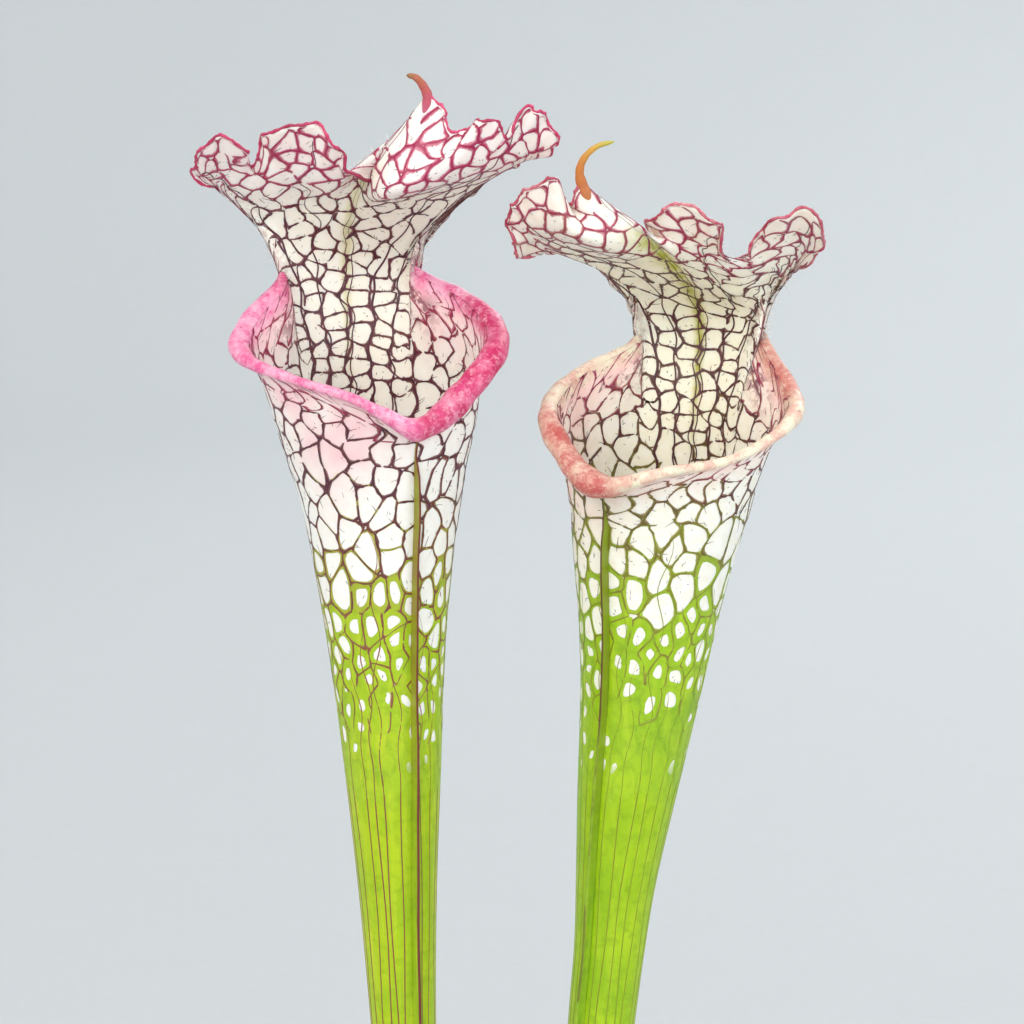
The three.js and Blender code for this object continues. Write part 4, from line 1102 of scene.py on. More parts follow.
def main_veins(leaf):
    """Broad veins that fan from the throat over the neck to the margin, and the keel's pair of lines."""
    lines = []
    row = np.linspace(-2.4, 14.6, 170)
    for place, wide in leaf["ribs"]:
        keel = abs(place) < 0.1
        swing, thin = (0.0, 0.0) if keel else (0.25, 0.36)
        swing = swing * np.sin(row * 1.1 + place * 9 + leaf["seed"]) * smooth(7, 10, row)
        column = place * chart_width(row * (not keel)) + swing
        width = wide * mix(1.0, thin, smooth(5.5, 11, row)) * smooth(-2.4, -0.6, row) + 0.01
        degrees, level = on_leaf(leaf, column, row)
        lines.append((degrees, level, width, np.full_like(width, 0.12)))
    return lines


def keel_cord(leaf):
    """The midrib's raised outer edge on the hood, which runs on into the horn."""
    row = np.linspace(9.5, 14.9, 90)
    degrees, level = on_leaf(leaf, 0.01 + 0 * row, row)
    wide = leaf["cord"] * smooth(9.5, 13.5, row) + 0.02
    return [(degrees, level, wide, 0.05 + 0.7 * wide)]


def veinlets(leaf, cells, random, lowest):
    """Short free vein ends that reach into the windows, and dark specks."""
    lines = []
    border, rays = ray_lengths(cells, np.zeros_like(cells["half"]))
    level, height = cells["level"], cells["height"]
    for i in np.flatnonzero((level > lowest) & (level < 1.95) & (height > VEINLETS_FROM)):
        for _ in range(random.integers(0, 3)):
            ray = random.integers(CELL_SIDES)
            part = np.linspace(0, random.uniform(0.3, 0.7), 6)
            bend = random.uniform(-0.25, 0.25) * part ** 2
            reach = rays[i, ray] * border[i, ray]
            spot = cells["seeds"][i] + reach * (1 - part)[:, None]
            spot = spot + np.array([-reach[1], reach[0]]) * bend[:, None]
            wide = random.uniform(0.07, 0.13) * (1 - 0.75 * part / part[-1])
            lines.append((*on_leaf(leaf, *spot.T, cells["cap"][i]), wide, np.full(6, 0.05)))
        for _ in range(random.integers(0, 4)):
            ray = random.integers(CELL_SIDES)
            spot = cells["seeds"][i] + rays[i, ray] * border[i, ray] * random.uniform(0.1, 0.8)
            spot = spot + np.linspace(-1, 1, 3)[:, None] * random.uniform(-0.06, 0.06, 2)
            wide = random.uniform(0.05, 0.12) * np.array([0.4, 1, 0.4])
            lines.append((*on_leaf(leaf, *spot.T, cells["cap"][i]), wide, np.full(3, 0.03)))
    return lines


def vein_paint(name, codes, soft_codes):
    """Vein tissue filled with red sap: smoother and denser than the windows.

    Dark maroon above, crimson at the margin, red-brown or olive down the tube; it bleeds into the leaf.
    """
    below, margin, edge = ("zones.Red", 0, 1), ("zones.Blue", 0, 1), ("soft.Red", 0, 1)
    coats = [
        dict(code=codes[1], noise=GRAIN),
        dict(code=codes[4], parts=[margin]),
        dict(code=codes[2], parts=[below]),
        dict(code=codes[3], noise=GRAIN, parts=[below]),
        dict(code=soft_codes[0], parts=[edge]),
        dict(code=soft_codes[1], parts=[edge, margin]),
        dict(code=soft_codes[2], parts=[edge, below]),
    ]
    return natural_matter(name, codes[0], coats, (GRAIN, 0.36, 0.5), [(FINE, 0.04, 0.4)],
                          Subsurface_Weight=0.08, Subsurface_Scale=0.0008)


def green_paint(name, codes, rim_code):
    """Green leaf tissue that closes round the veins: yellower and browner where it starts, softly shiny."""
    below = ("zones.Red", 0.05, 0.6)
    coats = [
        dict(code=codes[0], parts=[below]),
        dict(code=codes[1], noise=CLOUD, span=(0.3, 0.7), parts=[below]),
        dict(code=codes[2], noise=STREAK, span=(0.45, 0.75), share=(0, 0.6), parts=[below]),
        dict(code=codes[3], noise=GRAIN, span=(0.48, 0.72), share=(0, 0.5)),
        dict(code=codes[2], noise=FRECKLES, span=(0.58, 0.7), share=(0, 0.35)),
    ]
    return natural_matter(name, rim_code, coats, (GRAIN, 0.4, 0.54), LEAF_BUMPS,
                          Subsurface_Weight=0.2, Subsurface_Scale=0.001)


# ---- wing, horn and edge --------------------------------------------------------------------

# Half the wing's outline, then mirrored: sideways in millimetres, and outwards as a share of its height.
WING_HALF = np.array([[-0.75, 0], [-0.5, 0.25], [-0.36, 0.6], [-0.34, 0.85], [-0.3, 0.96]])
WING_SECTION = np.concatenate([WING_HALF, [[0, 1.03]], WING_HALF[::-1] * [-1, 1]])


def leaf_wing(leaf):
    """The narrow wing down the front: a thin blade that rises above the foot and fades under the spout."""
    start = leaf["wing"]["from"]
    level = np.linspace(start, 1.44, 150)
    degrees = leaf["wing"]["angle"] + 1.2 * np.sin(level * 9 + 0.4)
    fade = smooth(start, start + 0.2, level) * (1 - 0.9 * smooth(0.95, 1.15, level))
    fade = fade * (1 - smooth(1.3, 1.44, level))
    base = leaf_point(leaf, degrees, level)
    out = leaf_normal(leaf, degrees, level)
    side = unit(np.cross([0.0, 0.0, 1.0], out)) * mix(1.0, 0.6, smooth(0.6, 0.95, level))[:, None]
    reach = leaf_wall(level) + 0.15 + leaf["wing"]["height"] * fade * (1 + 0.05 * np.sin(level * 60))
    section = WING_SECTION * np.stack([np.ones_like(reach), reach], -1)[:, None]
    olive = smooth(0.6, 0.92, level)[:, None]
    dark = smooth(leaf["line_end"], leaf["line_end"] + 0.06, level)[:, None]
    tint = np.stack(np.broadcast_arrays(olive, WING_SECTION[:, 1], dark), -1)
    return (*flat_ended(sweep(base, side, out, section)), {"zones": tint.reshape(-1, 3)})


def leaf_horn(leaf):
    """The curved point that ends the midrib: a tapering tube along a smooth path."""
    horn = leaf["horn"]
    rows = np.arange(len(horn["path"]))
    at = np.linspace(0, rows[-1], 46)
    wide = horn["slim"] * through(rows, horn["radii"], at)[:, 0]
    wide = wide * (1 + 0.04 * np.sin(at * 9)) * mix(0.45, 1, smooth(0, 1.0, at))
    wide[-3:] *= [0.85, 0.6, 0.2]
    share = np.r_[np.repeat(at / at[-1], 20), 0, 1]
    return (*tube_mesh(through(rows, horn["path"], at), wide, 20, flat=0.8), {"zones": one_channel(share)})


def leaf_edge(leaf, random):
    """The hood's thickened rim: a thin beaded cord along the margin with short soft teeth."""
    low, high = leaf["hood"]
    degrees = np.linspace(high - 1.0, low + 1.0, 900)
    line = leaf_point(leaf, degrees, 2.0 + 0 * degrees)
    inner = leaf_point(leaf, degrees, 1.985 + 0 * degrees)
    run = np.r_[0, np.cumsum(np.linalg.norm(np.diff(line, axis=0), axis=1))]
    even = np.arange(0, run[-1], 0.28)
    place = np.interp(even, run, hood_place(leaf, degrees)[0])
    right, left = leaf["flanks"]
    pale = smooth(*right, place) + smooth(*left, -place)
    line, inner = (np.stack([np.interp(even, run, row) for row in rows.T], -1) for rows in (line, inner))
    teeth = np.zeros(len(even))
    for middle in np.cumsum(random.uniform(1.3, 3.4, 400)):
        teeth += random.uniform(0.25, 0.75) * np.exp(-((even - middle) / 0.26) ** 2)
    line = line + unit(line - inner) * (0.45 * teeth)[:, None]
    ends = smooth(0, 4, even) * smooth(0, 4, even[-1] - even)
    radii = (0.34 + 0.05 * np.sin(even * 1.9) + 0.05 * teeth) * (0.35 + 0.65 * ends) * (1 - 0.25 * pale)
    share = np.r_[np.repeat(pale, 8), pale[0], pale[-1]]
    return (*tube_mesh(line, radii, 8, hint=(0, 0, 1)), {"zones": one_channel(share)})


def spikes(feet, leans, sides, lengths, widths, sag):
    """Closed three-sided spikes: foot + (lean s + down sag s^2) length, with a width that falls with s."""
    fronts = np.cross(leans, sides)
    down = np.array([0, 0, -1.0]) * sag
    rings = []
    for share, thick in ((0.0, 1.0), (0.4, 0.8), (0.75, 0.55)):
        middle = feet + (leans * share + down * share ** 2) * lengths[:, None]
        for angle in np.radians([0, 120, 240]):
            rings.append(middle + widths[:, None] * thick * (fronts * np.cos(angle) + sides * np.sin(angle)))
    points = np.stack([*rings, feet + (leans + down) * lengths[:, None]], 1)
    c, n = np.arange(3), (np.arange(3) + 1) % 3
    walls = np.concatenate([np.stack([r + c, r + n, r + 3 + n, r + 3 + c], -1) for r in (0, 3)])
    ends = np.concatenate([np.stack([6 + c, 6 + n, np.full(3, 9)], -1), [[2, 1, 0]]])
    shift = 10 * np.arange(len(feet))[:, None, None]
    return points.reshape(-1, 3), [(walls[None] + shift).reshape(-1, 4), (ends[None] + shift).reshape(-1, 3)]


HAIRS = 2100


def leaf_hairs(leaf, random):
    """White hairs on the hood's outer face, 1 to 2.6 mm long, that lean to the margin."""
    low, high = leaf["hood"]
    level = 1.22 + 0.74 * random.random(HAIRS) ** 0.8
    degrees = random.uniform(low - 2, high + 2, HAIRS)
    foot = lifted(leaf, degrees, level, np.full(HAIRS, -0.05))
    out = leaf_normal(leaf, degrees, level)
    above = leaf_point(leaf, degrees, np.minimum(level + 0.01, 2))
    up = unit(above - leaf_point(leaf, degrees, level - 0.01))
    side = np.cross(out, up)
    lean = out + up * random.uniform(-0.1, 0.5, (HAIRS, 1)) + side * random.uniform(-0.35, 0.35, (HAIRS, 1))
    lean = unit(lean)
    length = random.uniform(1.0, 2.6, HAIRS)
    return spikes(foot, lean, unit(np.cross(up, lean)), length, np.full(HAIRS, 0.06), 0.25)


# ---- pot, soil and rhizome --------------------------------------------------------------------

POT_HEIGHT = 105.0
POT_TOP_RADIUS = 58.0
POT_BASE_RADIUS = 42.0
POT_WALL = 2.0
POT_FLOOR = 2.4
RIM_BAND = 16.0
RIM_STEP = 2.4
DRAIN_HOLES = 8
DRAIN_RADIUS = 4
DRAIN_RING = 29


def outer_radius(height):
    """The pot's outer wall: straight from its base to its top."""
    return POT_BASE_RADIUS + (POT_TOP_RADIUS - POT_BASE_RADIUS) / POT_HEIGHT * height


def inner_radius(height):
    """The pot's inner wall: straight from the floor's edge to the top."""
    share = (height - POT_FLOOR) / (POT_HEIGHT - POT_FLOOR)
    return POT_BASE_RADIUS - POT_WALL + (POT_TOP_RADIUS - POT_BASE_RADIUS) * share


def turned(outline, count):
    """Points of a profile of radius and height turned about the pot's axis."""
    ring = circle(count)
    outline = np.asarray(outline, float)
    points = outline[:, None, :1] * ring[None]
    return np.concatenate([points, np.broadcast_to(outline[:, None, 1:], (*points.shape[:2], 1))], -1)


def pot_shape():
    """The pot's profile, from under the foot over the rim band to the floor, turned in 160 parts."""
    band_from = POT_HEIGHT - RIM_BAND
    band = RIM_STEP + POT_TOP_RADIUS
    outline = [
        [POT_BASE_RADIUS - 1.6, 0], [POT_BASE_RADIUS - 0.8, 0.15], [POT_BASE_RADIUS - 0.3, 0.6],
        *[[outer_radius(z), z] for z in [1.8, *np.linspace(8, band_from - 3, 12), band_from - 1.4]],
        [band - 1.3, band_from - 0.1], [band - 0.6, band_from + 0.5],
        [band - 0.35, band_from + 1.4], [band - 0.1, POT_HEIGHT - 6], [band, POT_HEIGHT - 3],
        [band + 0.75, POT_HEIGHT - 2.1], [band + 0.95, POT_HEIGHT - 1.2], [band + 0.6, POT_HEIGHT - 0.35],
        [band - 0.2, POT_HEIGHT], [POT_TOP_RADIUS - 0.9, POT_HEIGHT],
        [POT_TOP_RADIUS - 1.6, POT_HEIGHT - 0.35], [POT_TOP_RADIUS - POT_WALL + 0.1, POT_HEIGHT - 1.2],
        *[[inner_radius(z), z] for z in np.linspace(band_from - 2, POT_FLOOR + 2.2, 10)],
        [inner_radius(POT_FLOOR) - 0.7, POT_FLOOR + 0.4], [inner_radius(POT_FLOOR) - 1.8, POT_FLOOR],
    ]
    return pointed(turned(outline, 160), [0, 0, 0], [0, 0, POT_FLOOR])


def cut(piece, cutter):
    """Takes the cutter out of the piece and leaves a plain mesh."""
    step = piece.modifiers.new("holes", "BOOLEAN")
    step.object = cutter
    step.operation = "DIFFERENCE"
    step.solver = "EXACT"
    bpy.context.view_layer.update()
    done = bpy.data.meshes.new_from_object(piece.evaluated_get(bpy.context.evaluated_depsgraph_get()))
    piece.modifiers.clear()
    piece.data = done
    bpy.data.objects.remove(cutter)


def drain_cutter():
    """Upright round pegs in a ring, one for each drain hole."""
    parts = []
    for angle in (np.arange(DRAIN_HOLES) + 0.5) / DRAIN_HOLES * 2 * np.pi:
        middle = np.array([DRAIN_RING * np.cos(angle), DRAIN_RING * np.sin(angle), 0])
        parts.append(tube_mesh(middle + np.array([[0, 0, -2.0], [0, 0, 6.0]]), [DRAIN_RADIUS] * 2, 32))
    return make_mesh("cutter", *merge(parts))


def soil_height(x, y):
    """The bed's slow waves and its rise round the stem, in millimetres."""
    height = SOIL_LEVEL + 0.9 * np.sin(x * 0.21 + 0.6) * np.cos(y * 0.19)
    height = height + 0.5 * np.sin(x * 0.47 - y * 0.39 + 1.1)
    return height + 1.6 * np.exp(-((x + 2) ** 2 + (y - 1) ** 2) / 500)


def crumble(x, y, random):
    """Small lumps: sines of random direction from 7 mm down to 1.3 mm long, sharpened."""
    total = np.zeros_like(x)
    for length in np.geomspace(7, 1.3, 26):
        turn, phase = random.uniform(0, 2 * np.pi, 2)
        along, across = x * np.cos(turn) + y * np.sin(turn), x * np.sin(turn) - y * np.cos(turn)
        bend = 1.3 * np.sin(across * 2 * np.pi / length * 0.63 + 2 * phase)
        wave = np.sin(along * 2 * np.pi / length + phase + bend)
        total += (1 - np.abs(wave)) * length * 0.045
    return total - total.mean()


def soil_shape(random):
    """The peat: a crumbly top inside the pot's wall, and a plain side and underside."""
    count = 300
    top_radius = inner_radius(SOIL_LEVEL) - 0.7
    radius = np.r_[0.4, np.linspace(0, 1, 110)[1:] ** 0.8 * top_radius][::-1]
    ring = circle(count)
    x, y = (radius[:, None, None] * ring[None]).transpose(2, 0, 1)
    z = soil_height(x, y) + crumble(x, y, random) * smooth(0, 4, top_radius - radius)[:, None] * 0.8
    z -= 1.0 * (1 - smooth(0, 3, top_radius - radius))[:, None]
    side = [
        [inner_radius(POT_FLOOR) - 2.2, POT_FLOOR + 0.3],
        [inner_radius(POT_FLOOR + 2.2) - 0.4, POT_FLOOR + 2.6],
        [inner_radius(60) - 0.45, 60],
        [inner_radius(SOIL_LEVEL - 3) - 0.5, SOIL_LEVEL - 3],
    ]
    grid = np.concatenate([turned(side, count), np.stack([x, y, z], -1)])
    return pointed(grid, [0, 0, POT_FLOOR + 0.3], [0, 0, z[-1].mean()])


OCTA = np.array([[1, 0, 0], [0, 1, 0], [-1, 0, 0], [0, -1, 0], [0, 0, 1], [0, 0, -1]], float)
OCTA_FACES = np.array([
    [0, 1, 4], [1, 2, 4], [2, 3, 4], [3, 0, 4], [1, 0, 5], [2, 1, 5], [3, 2, 5], [0, 3, 5],
])


def lumps(spots, sizes, random, flat=0.7, slender=1.0):
    """Eight-sided stones at the spots, each stretched and turned its own way."""
    count = len(spots)
    shape = OCTA[None] * random.uniform(0.7, 1.3, (count, 1, 3)) + random.uniform(-0.15, 0.15, (count, 6, 3))
    shape = shape * [slender, 1 / slender, 1]
    turn = random.uniform(0, 2 * np.pi, (count, 1))
    tilt = random.uniform(-0.6, 0.6, (count, 1))
    x, y, z = np.moveaxis(shape, -1, 0)
    y, z = y * np.cos(tilt) - z * np.sin(tilt), y * np.sin(tilt) + z * np.cos(tilt)
    x, y = x * np.cos(turn) - y * np.sin(turn), x * np.sin(turn) + y * np.cos(turn)
    points = np.stack([x, y, z * flat], -1) * np.asarray(sizes)[:, None, None] + np.asarray(spots)[:, None]
    faces = (OCTA_FACES[None] + 6 * np.arange(count)[:, None, None]).reshape(-1, 3)
    return points.reshape(-1, 3), [faces]


def soil_spots(count, random, clear=0.0):
    """Random places on the bed, kept off the pot's wall."""
    radius = np.sqrt(random.random(count)) * (inner_radius(SOIL_LEVEL) - 2.5 - clear)
    angle = random.uniform(0, 2 * np.pi, count)
    x, y = radius * np.cos(angle), radius * np.sin(angle)
    return np.stack([x, y, soil_height(x, y)], -1)


def moss(random):
    """Cushions of moss: green shoots that spread from each cushion's middle, shorter towards its edge."""
    middles = np.array(MOSS, float)
    own = np.repeat(np.arange(len(middles)), 230)
    away = np.sqrt(random.random(len(own)))
    turn = random.uniform(0, 2 * np.pi, len(own))
    out = np.stack([np.cos(turn), np.sin(turn), 0 * turn], -1)
    x, y = (middles[own, :2] + out[:, :2] * (away * middles[own, 2])[:, None]).T
    feet = np.stack([x, y, soil_height(x, y) - 0.2 + 1.2 * (1 - away ** 2)], -1)
    lean = unit(out * (0.9 * away + 0.15)[:, None] + [0, 0, 1] + random.uniform(-0.25, 0.25, (len(own), 3)))
    side = unit(np.cross(lean, out + [0, 0, 0.3]))
    length = random.uniform(1.4, 2.8, len(own)) * (1 - 0.4 * away)
    return spikes(feet, lean, side, length, random.uniform(0.16, 0.3, len(own)), 0.15)


# Cushions of moss: x, y and radius.
MOSS = [
    [-33, -22, 6.5], [-26, -28, 4.5], [27, -27, 5.5], [34, 14, 7], [28, 22, 4], [-18, 32, 5], [-38, 8, 4],
    [6, -36, 4], [9, 30, 3.5], [-8, -18, 3],
]


def leaf_scales(leaf, random):
    """Dry papery scales round a leaf's foot: thin shells whose half width falls as (1 - v)^0.7 upwards."""
    parts = []
    foot, throat = leaf["tube"][0][0], leaf["tube"][-1][0]
    for k in range(4):
        v = np.linspace(0, 1, 22)[:, None]
        u = np.linspace(-1, 1, 13)[None]
        half = 74 * (1 - v) ** 0.7 + 0.5
        degrees = 90 * k + random.uniform(-20, 20) + u * half
        top = random.uniform(104, 114)
        height = mix(foot + 1, top, v) + 0.8 * np.sin(5 * u + k) * v
        level = (height - foot) / (throat - foot)
        gap = 0.1 + 0.25 * k + random.uniform(0.6, 1.6) * v ** 2 + 0.12 * np.cos(9 * u)
        outer = lifted(leaf, degrees, level, gap + 0.22)
        inner = lifted(leaf, degrees, level, gap)[:, ::-1]
        parts.append(flat_ended(np.concatenate([outer, inner], 1)))
    return merge(parts)


# Centre line of the creeping stem, with its radius: x, y, z, radius.
STEM = [
    [-25, 2, 82, 3.2], [-19, 1.5, 83, 6.0], [-12, 0.5, 84.5, 7.4], [-5, 0.5, 85, 6.9],
    [2, 1.5, 85.2, 7.5], [9, 2.5, 85.8, 7.2], [15, 3.5, 87.5, 5.6], [19.5, 4.2, 90, 2.6],
]

# Roots: start on the stem, a middle point and the end.
ROOTS = [
    [[-18, 0.5, 82], [-26, -14, 66], [-22, -25, 40]],
    [[-12, 3, 82], [-20, 18, 58], [-15, 24, 28]],
    [[-4, -1.5, 82], [-5, -16, 55], [-9, -14, 22]],
    [[3, 4, 82], [8, 22, 60], [4, 27, 34]],
    [[9, 0.5, 82], [20, -14, 62], [23, -20, 34]],
    [[15, 4.5, 85], [28, 8, 66], [30, 12, 38]],
]

# Old leaf bases: x, y, z and how far they lean.
STUBS = [[-18.5, 3, 84, -0.3], [-1.2, -2.6, 86, 0.1], [14.2, 5.4, 87, 0.4]]

# A direction that is along neither the stem nor a root.
STEM_HINT = (0.2, 1, 0.1)


def bent(points, count):
    """A smooth row of count points through a start, a middle and an end."""
    return through([0, 0.5, 1], points, np.linspace(0, 1, count))


def rhizome_shape():
    """The creeping stem with ring scars, its roots and the dried bases of old leaves."""
    stem = np.asarray(STEM, float)
    at = np.linspace(0, len(stem) - 1, 170)
    row = through(range(len(stem)), stem, at)
    centres = row[:, :3]
    a, p = np.meshgrid(np.arange(44) / 44 * 2 * np.pi, at)
    scars = np.abs(np.sin(p * 6.1 + 0.5 * np.sin(a)))
    wide = row[:, 3:] * (1 + 0.09 * np.sin(2.6 * p + 3 * a) * np.cos(5.1 * p)) - 0.45 * (1 - scars) ** 3
    wide += 0.12 * np.sin(a * 9 + p * 4) * np.sin(p * 17)
    section = np.stack([wide * np.cos(a), wide * np.sin(a)], -1)
    rings = sweep(centres, *frames_along(centres, STEM_HINT), section)
    parts = [pointed(rings, centres[0], centres[-1])]
    for root in ROOTS:
        radii = np.linspace(1.7, 0.8, 40) * (1 + 0.05 * np.sin(np.arange(40)))
        parts.append(tube_mesh(bent(root, 40), radii, 12, hint=STEM_HINT))
    for x, y, z, lean in STUBS:
        line = bent([[x, y, z], [x + lean * 4, y, z + 6], [x + lean * 9, y, z + 12]], 24)
        radii = bent([2.6, 2.4, 1.9], 24)[:, 0] * (1 + 0.03 * np.sin(np.arange(24) * 1.7))
        parts.append(tube_mesh(line, radii, 18, hint=STEM_HINT))
    return merge(parts)


def rim_paint(name, codes, pale_code):
    """The leaf's thickened edge, full of red sap and waxy; on the hood's lower sides it stays pale."""
    coats = [
        dict(code=codes[1], noise=BEADS),
        dict(code=codes[2], noise=CLOUD, span=(0.45, 0.7)),
        dict(code=pale_code, parts=[("zones.Red", 0, 1)]),
    ]
    return natural_matter(name, codes[0], coats, (GRAIN, 0.34, 0.46), [(FINE, 0.04, 0.5)],
                          Subsurface_Weight=0.1, Subsurface_Scale=0.0008)


def wing_paint(name, codes, high_code, rim_code):
    """Wing tissue, a doubled thickness of green leaf: denser than the tube, with a dark red crest line."""
    crest = ("zones.Green", 0.88, 0.98)
    coats = [
        dict(code=codes[1], noise=GRAIN),
        dict(code=codes[2], noise=STREAK, span=(0.45, 0.75), share=(0, 0.6)),
        dict(code=high_code, noise=DASHES, span=(0.3, 0.6), share=(0.6, 1), parts=[("zones.Red", 0, 1)]),
        dict(code=rim_code, noise=DASHES, span=(0.5, 0.6), share=(0, 0.6), parts=[crest]),
        dict(code=rim_code, parts=[crest, ("zones.Blue", 0, 1)]),
    ]
    return natural_matter(name, codes[0], coats, (GRAIN, 0.4, 0.52), [(FINE, 0.05, 0.4)],
                          Subsurface_Weight=0.15, Subsurface_Scale=0.001)


def horn_paint(name, codes):
    """Waxy drying leaf tissue that shines: from the hood's colour over orange-red to a yellow-green tip."""
    last = len(codes) - 1
    steps = range(1, len(codes))
    coats = [dict(code=codes[i], parts=[("zones.Red", (i - 1) / last, i / last)]) for i in steps]
    coats.append(dict(code=codes[0], noise=FRECKLES, span=(0.5, 0.7), share=(0, 0.35)))
    return natural_matter(name, codes[0], coats, (GRAIN, 0.32, 0.45), [(FINE, 0.05, 0.4)],
                          Subsurface_Weight=0.2, Subsurface_Scale=0.001)


def pot_paint():
    """Moulded polypropylene in a fired-clay colour, with a fine matte texture from the mould.

    Plain and even, with a dull sheen, faint clouding from handling and dried splashes near the foot.
    """
    cloud, grain, splash = (28.0, 3.0, 0.55, 1.0), (0.8, 3.0, 0.6, 1.0), (6.0, 4.0, 0.55, 1.0)
    coats = [
        dict(code="#B06B48", noise=cloud),
        dict(code="#8C4E33", noise=grain, span=(0.55, 0.75), share=(0, 0.5)),
        dict(code="#C9A58E", noise=splash, span=(0.42, 0.6), share=(0, 0.6), parts=[("place.Z", 0.03, 0.0)]),
    ]
    return natural_matter("clay_coloured_polypropylene", "#A5603F", coats, (cloud, 0.55, 0.7),
                          [(grain, 0.08, 0.4)], Specular_IOR_Level=0.35)


def grain_paint(name, codes, size_mm, rough, depth_mm, **sockets):
    """A rough natural matter: grains of size_mm in two colours, a third in broad patches, and a bump."""
    grain, broad = (size_mm, 5.0, 0.65, 1.0), (size_mm * 7, 2.0, 0.55, 1.0)
    coats = [
        dict(code=codes[1], noise=grain, span=(0.38, 0.62)),
        dict(code=codes[2], noise=broad, span=(0.45, 0.7)),
    ]
    bumps = [(grain, depth_mm, 0.8)]
    return natural_matter(name, codes[0], coats, (grain, rough * 0.9, rough), bumps, **sockets)


# ---- scene ----------------------------------------------------------------------------------

LEFT_GREENS = ("#96BA02", "#AEC808", "#C4D228", "#82A406")
RIGHT_GREENS = ("#8AB400", "#A4C606", "#B4D022", "#769C06")
LEAF_PAINTS = {
    "pitcher_left": {
        "skin": skin_paint("left_leaf_tissue", ("#FCF8F0", "#F6EFE6", "#FBF4DF"), "#F5BEC6",
                           ("#F0A2BE", "#E06296", "#C42460", "#F9D8E2", "#9E184A"), LEFT_GREENS),
        "rim": rim_paint("left_crimson_edge", ("#B81F52", "#D24A76", "#8E1B3F"), "#EAC6C4"),
        "horn": horn_paint("left_waxy_point", ("#D0688A", "#BC5468", "#B45248", "#A8603C", "#86683A")),
        "wing": wing_paint("left_wing_tissue", ("#94B410", "#84A60E", "#B8CC34"), "#8C7A26", "#6A2418"),
        "veins": vein_paint("left_vein_tissue", ("#451526", "#602436", "#8A4630", "#80562C", "#A3164C"),
                            ("#B08A80", "#E58CA6", "#B0A552")),
        "closing": green_paint("left_closing_green", LEFT_GREENS, "#A89A3A"),
    },
    "pitcher_right": {
        "skin": skin_paint("right_leaf_tissue", ("#FBF7EC", "#F3EDDC", "#FAF4D2"), "#F3C4C0",
                           ("#EADFC6", "#DDB2A2", "#BC5A56", "#F2E8D4", "#963848"), RIGHT_GREENS),
        "rim": rim_paint("right_rosy_edge", ("#B83A5A", "#D98A90", "#A02E48"), "#E8D2C0"),
        "horn": horn_paint("right_waxy_point", ("#CC8456", "#BC6C36", "#C87C34", "#C79A3A", "#A9B040")),
        "wing": wing_paint("right_wing_tissue", ("#88B008", "#789E0A", "#A8C62C"), "#7E8E14", "#5A3214"),
        "veins": vein_paint("right_vein_tissue", ("#42161F", "#5A2A2C", "#80741C", "#86980E", "#98204A"),
                            ("#B3957F", "#E39AA4", "#A6B83A")),
        "closing": green_paint("right_closing_green", RIGHT_GREENS, "#9AA82E"),
    },
}
# Leaf hairs are clear cells full of air: they look white, catch the light and glow at their edges.
HAIR_PAINT = grain_paint("clear_leaf_hair", ("#F6F3EC", "#E9E2D8", "#FBF8F2"), 2.4, 0.42, 0.01,
                         Subsurface_Weight=0.3, Subsurface_Scale=0.0006)

for plant in (LEFT, RIGHT):
    node = plant["name"]
    paints = LEAF_PAINTS[node]
    random = np.random.default_rng(plant["seed"])
    cells = cell_shapes(plant, random)
    add_piece(node + "_net_outside", node, paints["veins"], vein_net(plant, cells, 1, 0))
    add_piece(node + "_net_inside", node, paints["veins"], vein_net(plant, cells, -1, INNER_NET_FROM))
    add_piece(node + "_green_outside", node, paints["closing"], halo_net(plant, cells, 1))
    ribs = main_veins(plant)
    fine_outside = veinlets(plant, cells, random, 0)
    fine_inside = veinlets(plant, cells, random, INNER_NET_FROM)
    for label, lines, side, below in (
            ("ribs_outside", ribs, 1, 0), ("ribs_inside", ribs, -1, 0),
            ("veinlets_outside", fine_outside, 1, 0), ("veinlets_inside", fine_inside, -1, 0),
            ("long_veins", long_veins(plant, random), 1, 1)):
        shape = strips(plant, lines, side, zones=[below, 0.5, 0.0], soft=[0.0, 0.0, 0.0])
        add_piece(node + "_" + label, node, paints["veins"], shape)
    add_piece(node + "_skin", node, paints["skin"], leaf_skin(plant))
    add_piece(node + "_wing", node, paints["wing"], leaf_wing(plant))
    add_piece(node + "_horn", node, paints["horn"], leaf_horn(plant))
    add_piece(node + "_keel", node, paints["horn"], strips(plant, keel_cord(plant), 1, zones=[0.12, 0, 0]))
    add_piece(node + "_rim", node, paints["rim"], leaf_edge(plant, random))
    add_piece(node + "_hairs", node, HAIR_PAINT, leaf_hairs(plant, random))

pot_piece = make_mesh("pot_body", *pot_shape())
cut(pot_piece, drain_cutter())
pot_piece.data.materials.clear()
pot_piece.data.materials.append(pot_paint())
pot_piece.data.set_sharp_from_angle(angle=np.radians(40))
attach(pot_piece, "root")
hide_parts("pot")

# Peat, dull, with fine fibres: near black where its bumps dip and brown where they rise, a painted shade in
# its hollows.
PEAT_WITH_HOLLOW_SHADE = grain_paint("peat_with_painted_hollow_shade", ("#2E2018", "#4A3627", "#3A2A1E"), 1.6, 0.95, 0.4)
CRUMB = grain_paint("peat_crumbs", ("#3A281C", "#5B4230", "#2E2018"), 1.1, 0.95, 0.2)
# Perlite is blown volcanic glass: bright white, dry and pitted like foam.
PERLITE = grain_paint("white_perlite", ("#F1EEE6", "#D9D4C8", "#E6E1D5"), 0.8, 0.8, 0.15)
